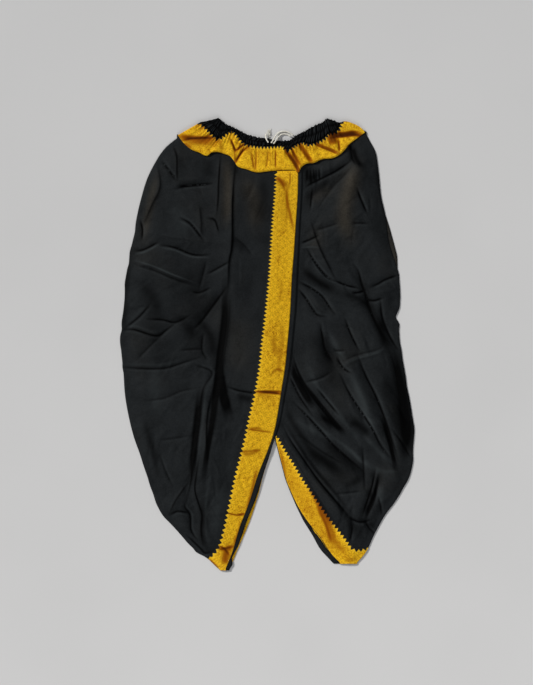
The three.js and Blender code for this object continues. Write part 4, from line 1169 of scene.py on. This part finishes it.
def make_yoke(gold):
    """The front yoke: pleats that fan out of the gathered waist."""
    u, v, x, y = waist_grid(waist_teeth, waist_hem, 400, 36, END_BULGE)
    ends = smooth(np.minimum(u, 1 - u), 0, 0.1)  # 0 at the side folds and 1 between them
    folds, shade, _ = relief(x, y, YOKE_FOLDS + YOKE_PATCHES)
    pleats = gathers(u, 52, 3)
    fade = (1 - v) ** 1.4  # the pleats die out towards the lower edge
    smooth_middle = 1 - 0.75 * smooth(u, 0.42, 0.45) * (1 - smooth(u, 0.53, 0.56))
    fan = 0.5 * np.sin(u * 95 + 2 * np.sin(u * 17)) * (1 - 0.4 * v) * smooth_middle
    z = 5.6 + 1.5 * ends + 3 * ends * (0.4 + 0.6 * v) + folds * (0.5 + 0.5 * ends) + fan
    z = z + 2.2 * pleats * fade * smooth_middle
    # it stays above the panels, and its hem turns down onto them
    z = np.maximum(z, 5.7 - 1.6 * (1 - ends)) - 2.4 * smooth(v, 0.93, 1) * ends
    z = np.maximum(z, CROSSING_FLOOR)
    # painted shade in the valleys between the pleats
    valley_shade = np.clip(1 - pleats * 1.1, 0, 1) * smooth(fade, 0.3, 0.9) * 0.5 * smooth_middle
    shade = 1 - (1 - shade) * (1 - valley_shade)
    across, teeth = border_uv(x, y, at_share(waist_teeth, np.linspace(0, 1, 160)), YOKE_PITCH)
    yoke = make_cloth(
        "yoke_front_tape", x, y, z, gold, "yoke_front", "gold_border", 0.7, (-across, teeth), shade=shade,
    )


def make_casing(black):
    """The front of the waist casing, ruched on elastic above and below a middle seam."""
    u, v, x, y = waist_grid(waist_top, waist_teeth, 760, 24)
    ends = smooth(np.minimum(u, 1 - u), 0, 0.1)  # 0 at the side folds and 1 between them
    lean = 0.006 * np.sin(5 * v + 9 * u)
    upper_ruche, lower_ruche = gathers(u + lean, 88, 3), gathers(u + 0.003 - lean, 80, 8)
    half = smooth(v, 0.42, 0.58)  # the middle seam parts the two rows of gathers
    ruche = upper_ruche * (1 - half) + lower_ruche * half
    crinkle = 0.35 * np.sin(u * 900 + 4 * np.sin(v * 9 + u * 60)) * np.sin(v * 14 + 6 * np.sin(u * 45))
    channels = np.abs(np.sin(2 * math.pi * np.clip(v, 0.03, 0.97))) ** 0.7
    bulge = np.sin(math.pi * np.clip(v, 0.02, 1))
    z = 3.6 + 2.6 * bulge * (0.4 + 0.6 * ends) + (2.6 * ruche + crinkle) * (0.35 + 0.65 * channels)
    y = y + (1 - v) ** 2 * (upper_ruche - 0.6) * 1.8
    # painted shade between the gathers
    shade = np.clip(1.0 - 1.15 * ruche * channels, 0, 1) * 0.92
    casing = make_cloth("casing_front_cloth", x, y, z, black, "casing_front", "black_cloth", 0.8, shade=shade)


def flat_cloth(name, node, material, slot, x, y, top, wall, seed, uv=None):
    """A back piece, which lies flat on the surface and is slightly wrinkled."""
    z = top + np.clip(wrinkles(x, y, BACK_WRINKLES, seed) * 0.25, -0.3, 0.3)
    # a painted warm sheen from BACK_PATCHES
    _, _, warmth = relief(x, y, BACK_PATCHES)
    piece = make_cloth(name, x, y, z, material, node, slot, wall, uv, warmth=warmth)
    piece.modifiers["wall"].use_even_offset = False
    return piece


def back_grid(node, low, high, columns, step=6):
    """A grid over a CAD node's outline between two heights."""
    left = edge_line(node, "low", low, high, blur=0)
    right = edge_line(node, "high", low, high, blur=0)
    levels = np.linspace(high, low, max(2, round((high - low) / step)))
    share = np.linspace(0, 1, columns)
    x = left(levels)[:, None] * (1 - share) + right(levels)[:, None] * share
    return x, np.repeat(levels[:, None], columns, 1)


def make_back(black, gold):
    """The back's pieces lie on the surface, a little thinner than their solids."""
    left_foot, right_foot = -459.5, -453.5
    for side, foot, head in (("left", left_foot, 438), ("right", right_foot, 440)):
        node = f"back_{side}_panel"
        x, y = back_grid(node, foot, head, 56)
        panel = flat_cloth(f"back_{side}_cloth", node, black, "black_cloth", x, y, BACK_TOP, CLOTH, 31)
        node = f"back_{side}_border"
        x, y = back_grid(node, foot, BACK_CROTCH, 12)
        inner = x[:, :1] if side == "left" else x[:, -1:]
        uv = (np.abs(x - inner), -y / TAPE_UNIT)
        top = BACK_TOP + 0.15
        tape = flat_cloth(f"back_{side}_tape", node, gold, "gold_border", x, y, top, CLOTH, 32, uv)
    x, y = back_grid("back_right_selvedge", right_foot, BACK_CROTCH, 4)
    # it turns in under the front's border, over the back's one, and its foot reaches a little lower
    turned, low = 1 - smooth(y, -430, -385), 1 - smooth(y, right_foot, -425)
    share = np.linspace(0, 1, x.shape[1])
    x, y = x + 8.5 * low + 6 * share * turned, y - 10 * low
    top = BACK_TOP + 0.5 * turned
    edge = flat_cloth("back_right_edge", "back_right_selvedge", black, "black_cloth", x, y, top, CLOTH, 33)
    upper, teeth, hem = (curve_points(line, 24) for line in zip(*WAIST_BACK))
    bands = [
        ("yoke_back", "yoke_back_tape", gold, "gold_border", 1.3, (teeth, hem), (0.40, 0.042)),
        ("casing_back", "casing_back_cloth", black, "black_cloth", 1.6, (upper, teeth), (0.31, 0.03)),
    ]
    for node, name, material, slot, top, lines, flat in bands:
        u, v, x, y = waist_grid(*lines, 200, 9)
        z = top + 0.3 * gathers(u, 60, 6) * (1 - v)
        piece = make_cloth(name, x, y, z, material, node, slot, 1.0, (4 + 40 * v, x / TAPE_UNIT))


make_camera()
make_drawstring()
make_studio()
black = black_cloth()
gold = gold_border()
make_left_front(black, gold)
make_right_front(black, gold)
make_yoke(gold)
make_casing(black)
make_back(black, gold)
